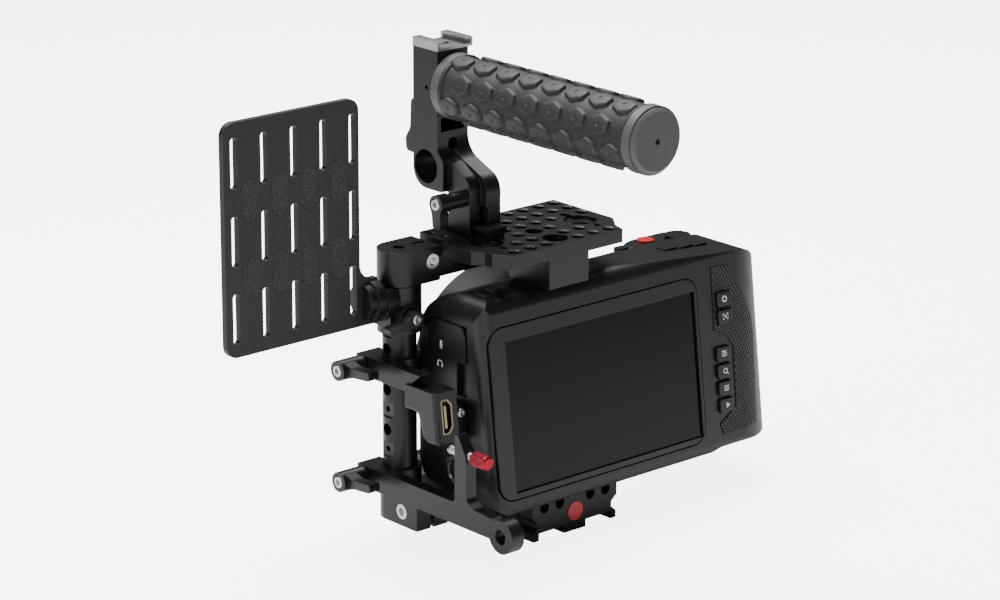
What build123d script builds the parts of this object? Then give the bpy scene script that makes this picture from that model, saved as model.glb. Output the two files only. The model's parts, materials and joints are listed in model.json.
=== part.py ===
from build123d import *
import os
from math import cos, pi, radians, sin

os.makedirs("parts", exist_ok=True)

# Cinema camera rig: a compact camera in a half cage with a top handle.
# Origin: the tripod thread in the bottom of the base plate. +X to the grip side,
# +Y towards the lens, +Z up. Millimetres.

# ---------------------------------------------------------------- driving sizes
PITCH = 9.144            # hole grid of the cage, 0.36 inch
GAP = 0.3                # air between pieces of different bodies
RUN = 0.05               # radial clearance of a running fit
R_QUARTER = 2.6          # tapped 1/4-20, radius of the drilled hole
R_QUARTER_TOP = 3.25     # its countersunk mouth
R_THREE8 = 4.0           # tapped 3/8-16
ROD_R = 7.5              # 15 mm rod

PLATE_HALF = 25.2        # dovetail base plate
PLATE_TOP = 20.6
PLATE_REAR = -4 * PITCH
PLATE_FRONT = 5 * PITCH
BADGE_Z, BADGE_R = 9.1, 4.4

POST_X, POST_Y = -67.0, 4.0
POST_BOTTOM, POST_TOP = 13.0, 134.9
BASE_CLAMP_R, BASE_CLAMP_Z0, BASE_CLAMP_Z1 = 8.8, 12.5, 25.2
BASE_CLAMP_REAR = -17.7
TOP_CLAMP_R, TOP_CLAMP_Z0, TOP_CLAMP_Z1 = 9.7, 119.5, 135.0
CLAMP_SCREW_OFF = 11.0   # clamp screw from the post's axis
POST_FIRST_Z, POST_FLATS = 44.6, 4        # shallow flats on the post's left side
ARM_BOLT_YS, ARM_BOLT_Z = (1.5, 12.5), 16.4
CAMERA_SCREW_Y = -2 * PITCH

DECK_TOP, DECK_T = 136.0, 6.0
DECK_REAR, DECK_FRONT = -4.5 * PITCH, 1.5 * PITCH
TOP_SCREW = (-PITCH, -3.5 * PITCH)
TONGUE_BOLTS = ((-44.5, 0.0), (-44.5, 9.0), (-30.0, -3.2), (-30.0, 10.6))
RAIL_TOP = 141.4
RAIL_X, RAIL_REAR, RAIL_FRONT = -30.0, -18.0, 13.4
GRID_HOLES = {1: (-1, 0, 1, 2, 3), 0: (-1, 0, 1, 2, 3), -1: (-2, -1, 0, 1, 3), -2: (-2, 0),
              -3: (-3, -2, 0, 1), -4: (-4, -3, -2, 0, 1, 2)}
TWIST_LOCKS = ((-4 * PITCH, -2 * PITCH), (2 * PITCH, -2 * PITCH))

BODY_LEFT, BODY_RIGHT = -57.0, 121.0      # camera, 178 mm wide
TOP_KNEE, TOP_DROP = 25.0, 7.0             # the top slopes down towards the hand grip
BODY_BOTTOM, BODY_TOP = 20.7, 116.7       # and 96 mm high
BODY_REAR_LOW, REAR_SLOPE, REAR_TILT = -48.6, 0.1246, 7.1   # leaning rear face
REAR_Z0 = 28.4
END_R, LEFT_R = 27.0, 6.0                  # rounded right end and left rear edge
BODY_FRONT = 2.5
BODY_SPLIT = -14.0
WALL = 2.4
LENS_Z, LENS_R, LENS_FRONT = 69.0, 42.0, 24.0
FLANGE_DEPTH = 19.25
MOUNT_R, THROAT_R = 31.0, 20.0

SCREEN = (-45.2, 67.8, 31.4, 98.0)        # glass: x0, x1, z0, z1 on the rear face
BEZEL = (-57.5, 69.8, 28.4, 105.0)
BUTTON_W, BUTTON_H, BUTTON_OUT = 8.6, 6.4, 1.6
KEY_SPOTS = ((-21.0, 69.0), (-21.0, 78.4), (-21.0, 87.8))
KEY_W, KEY_D, KEY_Z = 8.2, 6.0, 108.4
FUNCTION_SPOTS = ((67.0, -5.0), (76.0, -5.0), (85.0, -5.0))
FUNCTION_R, FUNCTION_Z = 2.6, 103.6
DOOR_X, DOOR_T = BODY_LEFT - 1.0, 1.4
DOOR_Y0, DOOR_Y1, DOOR_Z0, DOOR_Z1 = -28.6, -4.0, 73.0, 104.0
CONNECTOR_Y, CONNECTOR_Z, CONNECTOR_R = -22.4, 38.1, 6.4
RECORD_XY = (92.0, 17.0)
DIAL_XY, DIAL_Z = (104.0, 8.0), 104.0
POWER_X, POWER_Y, POWER_Z = (46.0, 59.5), (-13.2, -6.5), 112.2
BATTERY_X0, BATTERY_X1 = 82.0, 117.0
RELEASE_X, RELEASE_Z = -33.5, 58.0

BLOCK_X0, BLOCK_X1 = -40.0, -22.5         # upright block of the handle
STRAP_X0, JAW_X0 = -30.0, -37.0            # S-shaped strap and the jaw beside it
HANDLE_X = -30.0
BLOCK_REAR, BLOCK_FRONT, BLOCK_TOP = 10.2, 26.4, 215.4
ROD_Y, ROD_Z = 17.9, 163.2
STRAP_REAR, JAW_REAR, JAW_FRONT, JAW_BOTTOM = -11.3, -7.6, 6.4, 136.6
BLOCK_BOTTOM = 153.4
WING_Z = 178.0
GRIP_Z, GRIP_R, CORE_R = 199.2, 15.4, 11.0
GRIP_END, GRIP_CAP, GRIP_COLLAR = -116.3, -109.8, 4.7
CAP_R, COLLAR_R = 13.8, 14.6
HANDLE_LEVER_Y, HANDLE_LEVER_Z, HANDLE_LEVER_X = -4.0, 152.8, -53.2

PANEL = (-161.0, -89.9, 104.2, 205.0)
PANEL_T = 3.0
PANEL_NECK = 9.4
PANEL_SLOT_X, PANEL_SLOT_DX = -155.7, 15.55
PANEL_SLOT_Z, PANEL_SLOT_DZ = 109.8, 33.35
PANEL_SLOT_L, PANEL_SLOT_HALF = 22.2, 1.7
PAD_L, PAD_HALF, PAD_Z = 18.8, 4.3, 128.0
STUB_Z, STUB_R = 114.7, 9.0
KNUCKLE_X0, KNUCKLE_Z0 = -80.2, 98.0
KNUCKLE_LEVER_X, KNUCKLE_SCREW_Z, KNUCKLE_REAR = -70.0, 106.4, -7.4

ARM_X0, ARM_X1 = -80.5, -74.9             # flat bars beside the post
ARM_RING_R = 9.4
ARM_FRONT, ARM_SCREW_Y, ARM_LEVER_X = 17.0, 13.6, -94.0
UPPER_Z0, UPPER_Z1 = 77.6, 86.8
LOWER_Z0, LOWER_Z1 = 26.2, 36.2
EYE_Y, EYE_Z, EYE_R = -77.7, 28.8, 7.5
THUMB_X, THUMB_Z, THUMB_Y = -77.4, 57.8, -56.2
PORT_X0, PORT_X1, PORT_TOP = -81.8, -69.6, 81.6
PORT_REAR, PORT_FRONT = -36.3, -17.2       # rear face of the block, measured at its top
PORT_CX, PORT_Z0, PORT_Z1 = -75.4, 63.0, 78.2


# ------------------------------------------------------------------ small tools
def box(x0, x1, y0, y1, z0, z1):
    return Pos((x0 + x1) / 2, (y0 + y1) / 2, (z0 + z1) / 2) * Box(x1 - x0, y1 - y0, z1 - z0)


def cyl_x(x0, x1, y, z, r):
    return Pos((x0 + x1) / 2, y, z) * Rot(0, 90, 0) * Cylinder(r, x1 - x0)


def cyl_y(x, y0, y1, z, r):
    return Pos(x, (y0 + y1) / 2, z) * Rot(90, 0, 0) * Cylinder(r, y1 - y0)


def cyl_z(x, y, z0, z1, r):
    return Pos(x, y, (z0 + z1) / 2) * Cylinder(r, z1 - z0)


def prism_x(points, x0, x1):
    """Extrudes an outline given as (y, z) points from x0 to x1."""
    return extrude(Plane.YZ.offset(x0) * Polygon(*points, align=None), x1 - x0, dir=(1, 0, 0))


def prism_y(points, y0, y1):
    """Extrudes an outline given as (x, z) points from y0 to y1."""
    return extrude(Plane.XZ.offset(-y0) * Polygon(*points, align=None), y1 - y0, dir=(0, 1, 0))


def prism_z(points, z0, z1):
    """Extrudes an outline given as (x, y) points from z0 to z1."""
    return extrude(Plane.XY.offset(z0) * Polygon(*points, align=None), z1 - z0, dir=(0, 0, 1))


def outline(points, rounds):
    """A closed outline whose corners, given by their index, are rounded."""
    face = Polygon(*points, align=None)
    for index, radius in rounds.items():
        px, py = points[index]
        spot = min(face.vertices(), key=lambda v: abs(v.X - px) + abs(v.Y - py))
        face = fillet(spot, radius)
    return face


def along_x(face, x0, x1):
    """Extrudes a (y, z) outline from x0 to x1."""
    return extrude(Plane.YZ.offset(x0) * face, x1 - x0, dir=(1, 0, 0))


def soft_edges(solid, axis, radius):
    """Rounds the edges of a box that run along one axis."""
    return fillet(solid.edges().filter_by(axis), radius)


def rear_y(z, out=0.0):
    """Depth of the leaning rear face at height z, moved out by out."""
    return BODY_REAR_LOW + (z - REAR_Z0) * REAR_SLOPE - out


def on_rear(solid):
    """Takes a piece modelled on the plane y = 0, z measured up the face, to the rear face."""
    return Pos(0, BODY_REAR_LOW, REAR_Z0) * Rot(-REAR_TILT, 0, 0) * Pos(0, 0, -REAR_Z0) * solid


def slot_y(x, y0, y1, z0, z1, half):
    """A vertical slot with round ends, cut through y0 to y1."""
    body = box(x - half, x + half, y0, y1, z0 + half, z1 - half)
    return body + cyl_y(x, y0, y1, z0 + half, half) + cyl_y(x, y0, y1, z1 - half, half)


def socket_screw_x(x_face, y, z, head_r, head_h, shaft_r, length, hexagon):
    """Cap screw along X whose head's outer face is at x_face, its shaft towards +X."""
    screw = cyl_x(x_face, x_face + head_h, y, z, head_r)
    screw += cyl_x(x_face + head_h, x_face + head_h + length, y, z, shaft_r)
    socket = extrude(Plane.YZ.offset(x_face) * RegularPolygon(hexagon, 6), head_h * 0.6)
    return screw - Pos(0, y, z) * socket


# ------------------------------------------------------------------- base group
def make_base_plate():
    foot, neck, boss = 24.8, 22.0, 6.5
    half = [(0, 0), (boss, 0), (boss, 3.5), (21.4, 3.5), (21.4, 0), (foot, 0), (foot, 3.4),
            (neck, 5.8), (neck, 8.2), (PLATE_HALF, 11.0), (PLATE_HALF, PLATE_TOP), (0, PLATE_TOP)]
    outline = half + [(-x, z) for x, z in reversed(half[1:-1])]
    plate = prism_y(outline, PLATE_REAR, PLATE_FRONT)
    for x in (-2 * PITCH, -PITCH, PITCH, 2 * PITCH):
        plate -= cyl_y(x, PLATE_REAR, PLATE_REAR + 12, 15.0, R_QUARTER)
    plate -= cyl_z(0, 0, 0, 9.5, R_QUARTER)
    plate -= cyl_z(0, 3 * PITCH, 0, 9.5, R_THREE8)
    plate -= cyl_y(0, PLATE_REAR, PLATE_REAR + 1.2, BADGE_Z, BADGE_R + 0.1)
    plate -= cyl_z(0, CAMERA_SCREW_Y, 0, PLATE_TOP, 3.3)
    plate -= cyl_z(0, CAMERA_SCREW_Y, 0, 9.0, 6.2)
    for y in ARM_BOLT_YS:
        plate -= cyl_x(-PLATE_HALF, -PLATE_HALF + 12, y, ARM_BOLT_Z, 1.65)
    return plate


def make_base_badge():
    return cyl_y(0, PLATE_REAR - 0.3, PLATE_REAR + 1.2, BADGE_Z, BADGE_R)


def make_camera_screws():
    """Two 1/4-20 screws: one up through the base plate, one down through the top plate."""
    low = cyl_z(0, CAMERA_SCREW_Y, 5.5, 9.0, 6.0) + cyl_z(0, CAMERA_SCREW_Y, 9.0, BODY_BOTTOM + 5.0, 2.55)
    low -= box(-6.5, 6.5, CAMERA_SCREW_Y - 0.7, CAMERA_SCREW_Y + 0.7, 5.5, 7.2)
    x, y = TOP_SCREW
    high = cyl_z(x, y, 126.0, 129.5, 5.4) + cyl_z(x, y, BODY_TOP - 5.0, 126.0, 2.55)
    high -= box(x - 6, x + 6, y - 0.7, y + 0.7, 128.0, 129.6)
    return Compound(children=[low, high])


def make_base_arm():
    """Split clamp for the post's foot, with an arm that bolts to the base plate's side."""
    z0, z1 = BASE_CLAMP_Z0, BASE_CLAMP_Z1
    arm = cyl_z(POST_X, POST_Y, z0, z1, BASE_CLAMP_R)
    arm += box(POST_X - BASE_CLAMP_R, POST_X + BASE_CLAMP_R, BASE_CLAMP_REAR, POST_Y, z0, z1)
    arm += box(POST_X + 5, -PLATE_HALF - 0.02, -6.0, 20.0, z0, PLATE_TOP - 0.4)
    arm -= box(BODY_LEFT - 1.0, -PLATE_HALF, -8, 22, PLATE_TOP - 0.4, z1 + 1)
    arm -= cyl_z(POST_X, POST_Y, z0 + 0.5, z1, ROD_R)
    arm -= box(POST_X - 1.0, POST_X + 1.0, BASE_CLAMP_REAR, POST_Y, z0, z1)
    y, z = POST_Y - CLAMP_SCREW_OFF, 18.8
    x0 = POST_X - BASE_CLAMP_R
    arm -= cyl_x(x0, x0 + 3.4, y, z, 3.6)
    arm -= cyl_x(x0 + 3.4, x0 + 15.6, y, z, 2.0)
    arm -= cyl_y(POST_X + 5.0, BASE_CLAMP_REAR, BASE_CLAMP_REAR + 7, 18.8, 1.6)
    for yb in ARM_BOLT_YS:
        arm -= cyl_x(-34.0, -PLATE_HALF, yb, ARM_BOLT_Z, 1.65)
        arm -= cyl_x(-33.6, -31.0, yb, ARM_BOLT_Z, 3.1)
    return arm


def make_clamp_screws():
    """Two cap screws: one closes the base clamp, one closes the top clamp."""
    x0 = POST_X - BASE_CLAMP_R
    low = socket_screw_x(x0 + 0.2, POST_Y - CLAMP_SCREW_OFF, 18.8, 3.5, 3.2, 1.98, 12.0, 1.9)
    y0 = POST_Y - TOP_CLAMP_R
    upright = socket_screw_x(0.2, 0, 0, 3.5, 3.2, 1.98, 13.0, 1.9)
    high = Pos(POST_X + CLAMP_SCREW_OFF, y0, 128.4) * Rot(0, 0, 90) * upright
    return Compound(children=[low, high])


def make_post():
    post = cyl_z(POST_X, POST_Y, POST_BOTTOM, POST_TOP, ROD_R)
    post -= cyl_z(POST_X, POST_Y, POST_TOP - 10, POST_TOP, R_QUARTER)
    for k in range(POST_FLATS):
        z = POST_FIRST_Z + 2 * PITCH * k
        post -= box(POST_X - ROD_R, POST_X - ROD_R + 0.9, POST_Y - 5, POST_Y + 5, z - 3.6, z + 3.6)
        post -= cyl_x(POST_X - ROD_R, POST_X - 2.0, POST_Y, z, 1.3)
        post -= cyl_x(POST_X - ROD_R, POST_X - 1.0, POST_Y, z + PITCH, R_QUARTER)
    return post


# -------------------------------------------------------------------- top group
def make_top_clamp():
    """Split ring on the post's head; its tongue goes under the top plate."""
    z0, z1 = TOP_CLAMP_Z0, TOP_CLAMP_Z1
    r = TOP_CLAMP_R
    clamp = cyl_z(POST_X, POST_Y, z0, z1, r)
    clamp += box(POST_X, -52.0, POST_Y - r, POST_Y + r, z0, z1)
    clamp += box(-53.0, -24.0, POST_Y - r, POST_Y + r, z0 + 1.5, DECK_TOP - DECK_T - 0.02)
    clamp -= cyl_z(POST_X, POST_Y, z0, z1, ROD_R)
    clamp -= box(POST_X, -49.5, POST_Y - 0.9, POST_Y + 0.9, z0, z1)
    x = POST_X + CLAMP_SCREW_OFF
    clamp -= cyl_y(x, POST_Y - r, POST_Y - r + 3.4, 128.4, 3.6)
    clamp -= cyl_y(x, POST_Y - r + 3.4, POST_Y - r + 16.6, 128.4, 2.0)
    for bx, by in TONGUE_BOLTS:
        clamp -= cyl_z(bx, by, z0, z1, 1.65)
    return clamp


def make_plate_screws():
    """Six M3 cap screws: four down through the rail and top plate, two into the base plate."""
    screws = []
    for k, (x, y) in enumerate(TONGUE_BOLTS):
        head_z = DECK_TOP - 2.2 if k < 2 else RAIL_TOP - 2.2
        screw = cyl_z(x, y, head_z, head_z + 2.0, 2.7) + cyl_z(x, y, 122.0, head_z, 1.6)
        socket = extrude(Plane.XY.offset(head_z + 0.7) * RegularPolygon(1.4, 6), 1.4)
        screws.append(screw - Pos(x, y, 0) * socket)
    for y in ARM_BOLT_YS:
        screws.append(cyl_x(-33.2, -31.0, y, ARM_BOLT_Z, 2.7) + cyl_x(-31.0, -PLATE_HALF + 10, y, ARM_BOLT_Z, 1.6))
    return Compound(children=screws)


def make_top_plate():
    left, right = -52.0, 3.42 * PITCH
    z0 = DECK_TOP - DECK_T
    outline = [(-42.0, DECK_REAR), (22.3, DECK_REAR), (24.3, -34.6), (31.2, -25.4), (right, DECK_FRONT),
               (left + 5, DECK_FRONT), (left + 0.2, POST_Y + 5), (left + 0.2, -7.0), (-50.6, -24.4),
               (-46.4, -28.5), (-46.2, -33.0)]
    plate = prism_z(outline, z0, DECK_TOP)
    boss = box(-PITCH - 11.4, -PITCH + 11.4, DECK_REAR, -15.0, BODY_TOP + 0.05, z0)
    plate += boss
    plate -= box(left, -53.0 + 4.8, POST_Y - TOP_CLAMP_R - 0.05, POST_Y + TOP_CLAMP_R + 0.05, z0, DECK_TOP)
    for row, columns in GRID_HOLES.items():
        for column in columns:
            x, y = column * PITCH, row * PITCH
            plate -= cyl_z(x, y, z0, DECK_TOP, R_QUARTER)
            plate -= Pos(x, y, DECK_TOP - 0.3) * Cone(R_QUARTER, R_QUARTER_TOP, 0.6)
    x, y = -PITCH, -2 * PITCH
    plate -= cyl_z(x, y, z0 - 6, DECK_TOP, R_THREE8)
    x, y = TOP_SCREW
    plate -= cyl_z(x, y, 126.0, DECK_TOP, 5.7)
    plate -= cyl_z(x, y, BODY_TOP, 126.0, 3.2)
    for x, y in TWIST_LOCKS:
        plate -= cyl_z(x, y, DECK_TOP - 2.0, DECK_TOP, 7.3)
        plate -= cyl_z(x, y, z0, DECK_TOP, R_THREE8)
        for side in (-1, 1):
            plate -= cyl_z(x, y + side * 11.0, z0 + 1.0, DECK_TOP, 1.9)
            low, high = sorted((y + side * 6.0, y + side * 11.0))
            plate -= box(x - 1.9, x + 1.9, low, high, DECK_TOP - 2.0, DECK_TOP)
    for k, (x, y) in enumerate(TONGUE_BOLTS):
        plate -= cyl_z(x, y, z0, DECK_TOP, 1.65)
        if k < 2:
            plate -= cyl_z(x, y, DECK_TOP - 2.2, DECK_TOP, 2.9)
    return plate


def rail_outline(grow=0.0):
    """Dovetail rail across X: narrow waist, wide head."""
    top, waist = 5.2 + grow, 3.8 + grow
    z0 = DECK_TOP + 0.02
    return [(RAIL_X - waist, z0), (RAIL_X + waist, z0), (RAIL_X + waist, z0 + 1.4),
            (RAIL_X + top, z0 + 3.2), (RAIL_X + top, RAIL_TOP + grow),
            (RAIL_X - top, RAIL_TOP + grow), (RAIL_X - top, z0 + 3.2),
            (RAIL_X - waist, z0 + 1.4)]


def make_handle_rail():
    rail = prism_y(rail_outline(), RAIL_REAR, RAIL_FRONT)
    for x, y in TONGUE_BOLTS[2:]:
        rail -= cyl_z(x, y, DECK_TOP, RAIL_TOP, 1.65)
        rail -= cyl_z(x, y, RAIL_TOP - 2.2, RAIL_TOP, 2.9)
    return rail


# ----------------------------------------------------------------------- handle
def make_handle_riser():
    """Upright block with the rod bore, an S-shaped strap and a jaw that grips the rail."""
    block = outline([(BLOCK_FRONT, BLOCK_TOP), (BLOCK_REAR, BLOCK_TOP), (BLOCK_REAR, 171.0),
                     (JAW_FRONT, 167.0), (JAW_FRONT, BLOCK_BOTTOM), (BLOCK_FRONT, BLOCK_BOTTOM)],
                    {2: 5.0, 4: 1.5, 5: 8.6})
    strap = outline([(BLOCK_FRONT - 9, 180.0), (BLOCK_REAR, 180.0), (BLOCK_REAR, 169.8),
                     (STRAP_REAR, 160.6), (STRAP_REAR, JAW_BOTTOM), (JAW_FRONT, JAW_BOTTOM),
                     (JAW_FRONT, BLOCK_BOTTOM), (BLOCK_FRONT - 9, BLOCK_BOTTOM)], {2: 11.0, 3: 8.0})
    jaw = outline([(JAW_FRONT + 1, 168.0), (4.0, 166.8), (JAW_REAR, 160.4), (JAW_REAR, JAW_BOTTOM),
                   (JAW_FRONT, JAW_BOTTOM), (JAW_FRONT, BLOCK_BOTTOM), (JAW_FRONT + 1, BLOCK_BOTTOM)],
                  {1: 3.0, 2: 7.0})
    riser = along_x(block, BLOCK_X0, BLOCK_X1) + along_x(strap, STRAP_X0 - 0.5, BLOCK_X1)
    riser += along_x(jaw, JAW_X0, STRAP_X0)
    riser -= prism_y(rail_outline(GAP), STRAP_REAR - 1, JAW_FRONT + 1)
    riser -= box(RAIL_X - 1.0, RAIL_X + 0.6, STRAP_REAR - 1, JAW_FRONT + 1, RAIL_TOP, 149.0)
    riser -= cyl_x(BLOCK_X0, BLOCK_X1, ROD_Y, ROD_Z, ROD_R + 0.05)
    riser -= box(-38.0, -24.6, BLOCK_REAR - 1, BLOCK_REAR + 9.0, 179.6, 185.8)
    riser -= cyl_y(HANDLE_X - 1.3, 2.0, BLOCK_REAR + 6.0, 173.8, R_QUARTER)
    riser -= cyl_x(JAW_X0 - 1, BLOCK_X1, HANDLE_LEVER_Y, HANDLE_LEVER_Z, 2.1)
    riser -= cyl_y(HANDLE_X, BLOCK_REAR, BLOCK_FRONT, GRIP_Z, 4.1)
    riser -= cyl_y(HANDLE_X, ROD_Y + ROD_R - 1, BLOCK_FRONT, WING_Z, 2.1)
    riser -= cyl_z(HANDLE_X, (BLOCK_REAR + BLOCK_FRONT) / 2, BLOCK_TOP - 8, BLOCK_TOP, 1.65)
    riser -= cyl_x(BLOCK_X0, BLOCK_X0 + 3.0, 17.4, 198.6, 1.0)
    return riser


def make_cold_shoe():
    z0, z1 = BLOCK_TOP + 0.02, 219.6
    half, lip, mouth = 9.9, 8.9, 6.0
    shoe = box(HANDLE_X - half, HANDLE_X + half, BLOCK_REAR - 0.3, BLOCK_FRONT + 0.3, z0, z1)
    shoe -= box(HANDLE_X - lip, HANDLE_X + lip, BLOCK_REAR - 1, BLOCK_FRONT - 1.2, z0 + 1.3, z0 + 3.3)
    shoe -= box(HANDLE_X - mouth, HANDLE_X + mouth, BLOCK_REAR - 1, BLOCK_FRONT + 1, z0 + 1.3, z1)
    y = (BLOCK_REAR + BLOCK_FRONT) / 2
    shoe -= cyl_z(HANDLE_X, y, z0, z1, 1.65)
    shoe -= cyl_z(HANDLE_X, y, z0 + 0.5, z1, 3.0)
    return shoe


def make_shoe_screw():
    y = (BLOCK_REAR + BLOCK_FRONT) / 2
    z = BLOCK_TOP + 0.52
    return cyl_z(HANDLE_X, y, z, z + 0.8, 2.9) + cyl_z(HANDLE_X, y, BLOCK_TOP - 7, z, 1.6)


def make_grip_core():
    """Aluminium tube under the rubber, with the long bolt that holds it to the riser."""
    core = cyl_y(HANDLE_X, GRIP_CAP + 0.02, GRIP_COLLAR - 0.02, GRIP_Z, CORE_R)
    core -= cyl_y(HANDLE_X, GRIP_CAP - 1, GRIP_COLLAR + 1, GRIP_Z, 4.1)
    return core


def make_grip_bolt():
    """Long bolt through the grip, its head under the end cap's face."""
    bolt = cyl_y(HANDLE_X, GRIP_END + 6.3, BLOCK_FRONT - 4.0, GRIP_Z, 4.0)
    return bolt + cyl_y(HANDLE_X, GRIP_END + 3.0, GRIP_END + 6.3, GRIP_Z, 6.5)


def make_grip_sleeve():
    sleeve = cyl_y(HANDLE_X, GRIP_CAP + 0.02, GRIP_COLLAR - 0.02, GRIP_Z, GRIP_R)
    return sleeve - cyl_y(HANDLE_X, GRIP_CAP - 1, GRIP_COLLAR + 1, GRIP_Z, CORE_R + 0.02)


def make_grip_collar():
    collar = cyl_y(HANDLE_X, GRIP_COLLAR, BLOCK_REAR - 0.02, GRIP_Z, COLLAR_R)
    collar -= cyl_y(HANDLE_X, GRIP_COLLAR - 1, BLOCK_REAR + 1, GRIP_Z, 4.1)
    return chamfer(collar.edges().filter_by(GeomType.CIRCLE).sort_by(Axis.Y)[-2:], 0.8)


def make_grip_end_cap():
    """Flange against the rubber and a domed face plate with a small centre hole."""
    cap = cyl_y(HANDLE_X, GRIP_END, GRIP_CAP, GRIP_Z, CAP_R)
    cap = chamfer(cap.edges().filter_by(GeomType.CIRCLE).sort_by(Axis.Y)[0], 1.4)
    cap += cyl_y(HANDLE_X, GRIP_CAP - 4.4, GRIP_CAP, GRIP_Z, COLLAR_R)
    cap -= cyl_y(HANDLE_X, GRIP_END + 6.0, GRIP_CAP + 1, GRIP_Z, 4.1)
    cap -= cyl_y(HANDLE_X, GRIP_END + 2.9, GRIP_END + 6.6, GRIP_Z, 6.6)
    return cap - cyl_y(HANDLE_X, GRIP_END - 1, GRIP_END + 3.0, GRIP_Z, 1.3)


def lever_blade(reach, wide, hub_r, tip_half):
    """Lever wing from a hub at the origin towards -Y: a waisted neck and a flat rounded bar."""
    neck = 0.42 * reach
    shape = outline([(0, hub_r * 0.96), (-neck, tip_half * 0.95), (-reach, tip_half), (-reach, -tip_half),
                     (-neck, -tip_half * 1.15), (0, -hub_r * 0.96)],
                    {1: 7.0, 2: tip_half * 0.6, 3: tip_half * 0.6, 4: 7.0})
    return along_x(shape, 0, wide)


def make_handle_lever():
    """Ratchet lever on the handle's jaw: hub, blade hanging down, screw through the jaw."""
    lever = cyl_x(HANDLE_LEVER_X, HANDLE_LEVER_X + 6, 0, 0, 4.2)
    lever += cyl_x(HANDLE_LEVER_X + 6, JAW_X0 - GAP, 0, 0, 3.6)
    lever += Pos(HANDLE_LEVER_X, 0, 0) * Rot(86, 0, 0) * lever_blade(11.0, 4.6, 4.2, 2.6)
    lever -= cyl_x(HANDLE_LEVER_X - 1, HANDLE_LEVER_X + 0.7, 0, 0, 2.7)
    lever += cyl_x(JAW_X0 - GAP - 0.1, BLOCK_X1 - 1.0, 0, 0, 2.1 - RUN)
    return Pos(0, HANDLE_LEVER_Y, HANDLE_LEVER_Z) * lever


def make_rod_lock_lever():
    """Wing lever that closes the rod clamp from the front."""
    y0 = BLOCK_FRONT + GAP
    wing = cyl_y(HANDLE_X, y0, y0 + 6.0, WING_Z, 4.5)
    shape = outline([(y0 + 4.0, 164.5), (y0 + 4.0, 190.0), (y0 + 9.6, 189.0), (y0 + 10.2, 175.5),
                     (y0 + 13.4, 171.0), (y0 + 13.0, 165.0)], {0: 2.0, 1: 2.0, 2: 2.0, 3: 6.0, 4: 3.0, 5: 2.5})
    wing += along_x(shape, HANDLE_X - 3, HANDLE_X + 3)
    return wing + cyl_y(HANDLE_X, ROD_Y + ROD_R + 0.3, y0 + 1.0, WING_Z, 2.1 - RUN)


# ------------------------------------------------------------ accessory panel
def make_knuckle_clamp():
    """Clamp on the post below the top clamp; the panel's stub turns in its cheek."""
    z0, z1 = KNUCKLE_Z0, TOP_CLAMP_Z0 - GAP
    knuckle = cyl_z(POST_X, POST_Y, z0, z1, TOP_CLAMP_R)
    knuckle += box(KNUCKLE_X0 + 2, POST_X, POST_Y - 7.5, POST_Y + 7.5, z0 + 4, z1)
    knuckle += cyl_x(KNUCKLE_X0, -74.0, POST_Y, STUB_Z - 1.0, 9.4) & box(-90, -70, -20, 20, z0, z1)
    knuckle += cyl_y(KNUCKLE_LEVER_X, KNUCKLE_REAR, POST_Y, KNUCKLE_SCREW_Z, 5.4)
    knuckle -= cyl_z(POST_X, POST_Y, z0 - 1, z1 + 1, ROD_R + RUN)
    knuckle -= cyl_x(KNUCKLE_X0 - 1, -76.0, POST_Y, STUB_Z, 4.0)
    knuckle -= cyl_y(KNUCKLE_LEVER_X, KNUCKLE_REAR - 1, KNUCKLE_REAR + 3.4, KNUCKLE_SCREW_Z, 2.1)
    return knuckle


def make_knuckle_lever():
    """Lever behind the knuckle, its broad blade towards -X and a little down."""
    lever = cyl_y(0, -4.2, 0, 0, 3.8) + cyl_y(0, -0.1, 3.2, 0, 2.1 - RUN)
    blade = outline([(0, 3.6), (-6.0, 1.2), (-15.5, 1.6), (-15.5, -1.8), (-6.0, -2.8), (0, -3.6)],
                    {1: 6.0, 2: 1.0, 3: 1.0, 4: 6.0})
    lever += extrude(Plane.XZ * blade, 4.2, dir=(0, -1, 0))
    lever -= cyl_y(0, -5.0, -3.5, 0, 2.5)
    return Pos(KNUCKLE_LEVER_X, KNUCKLE_REAR - GAP, KNUCKLE_SCREW_Z) * Rot(0, -9, 0) * lever


def make_panel():
    x0, x1, z0, z1 = PANEL
    y0, y1 = POST_Y - PANEL_T / 2, POST_Y + PANEL_T / 2
    plate = soft_edges(box(x0, x1, y0, y1, z0, z1), Axis.Y, 5.5)
    plate += box(x1 - 8, x1 + PANEL_NECK, y0, y1, z0, z0 + 20.4)
    corner = box(x1 - 1, x1 + 7, y0, y1, z0 + 20.4, z0 + 28.4)
    plate += corner - cyl_y(x1 + 7.0, y0 - 1, y1 + 1, z0 + 27.4, 7.0) - box(x1 + 7, x1 + 8, y0, y1, z0, z1)
    for row in range(3):
        for column in range(5):
            x = PANEL_SLOT_X + column * PANEL_SLOT_DX
            z = PANEL_SLOT_Z + row * PANEL_SLOT_DZ
            plate -= slot_y(x, y0 - 1, y1 + 1, z, z + PANEL_SLOT_L, PANEL_SLOT_HALF)
    for x, z in pad_places():
        plate -= slot_y(x, y0 - 1, y0 + 0.6, z, z + PAD_L, PAD_HALF + 0.1)
    return plate


def pad_places():
    """Lower corners of the eight pads, between the slots."""
    for row in range(2):
        for column in range(4):
            yield PANEL_SLOT_X + (column + 0.5) * PANEL_SLOT_DX + 0.3, PAD_Z + row * PANEL_SLOT_DZ


def make_panel_pads():
    y0 = POST_Y - PANEL_T / 2
    pads = [slot_y(x, y0 + 0.05, y0 + 0.6, z + 0.1, z + PAD_L - 0.1, PAD_HALF) for x, z in pad_places()]
    return Compound(children=pads)


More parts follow.
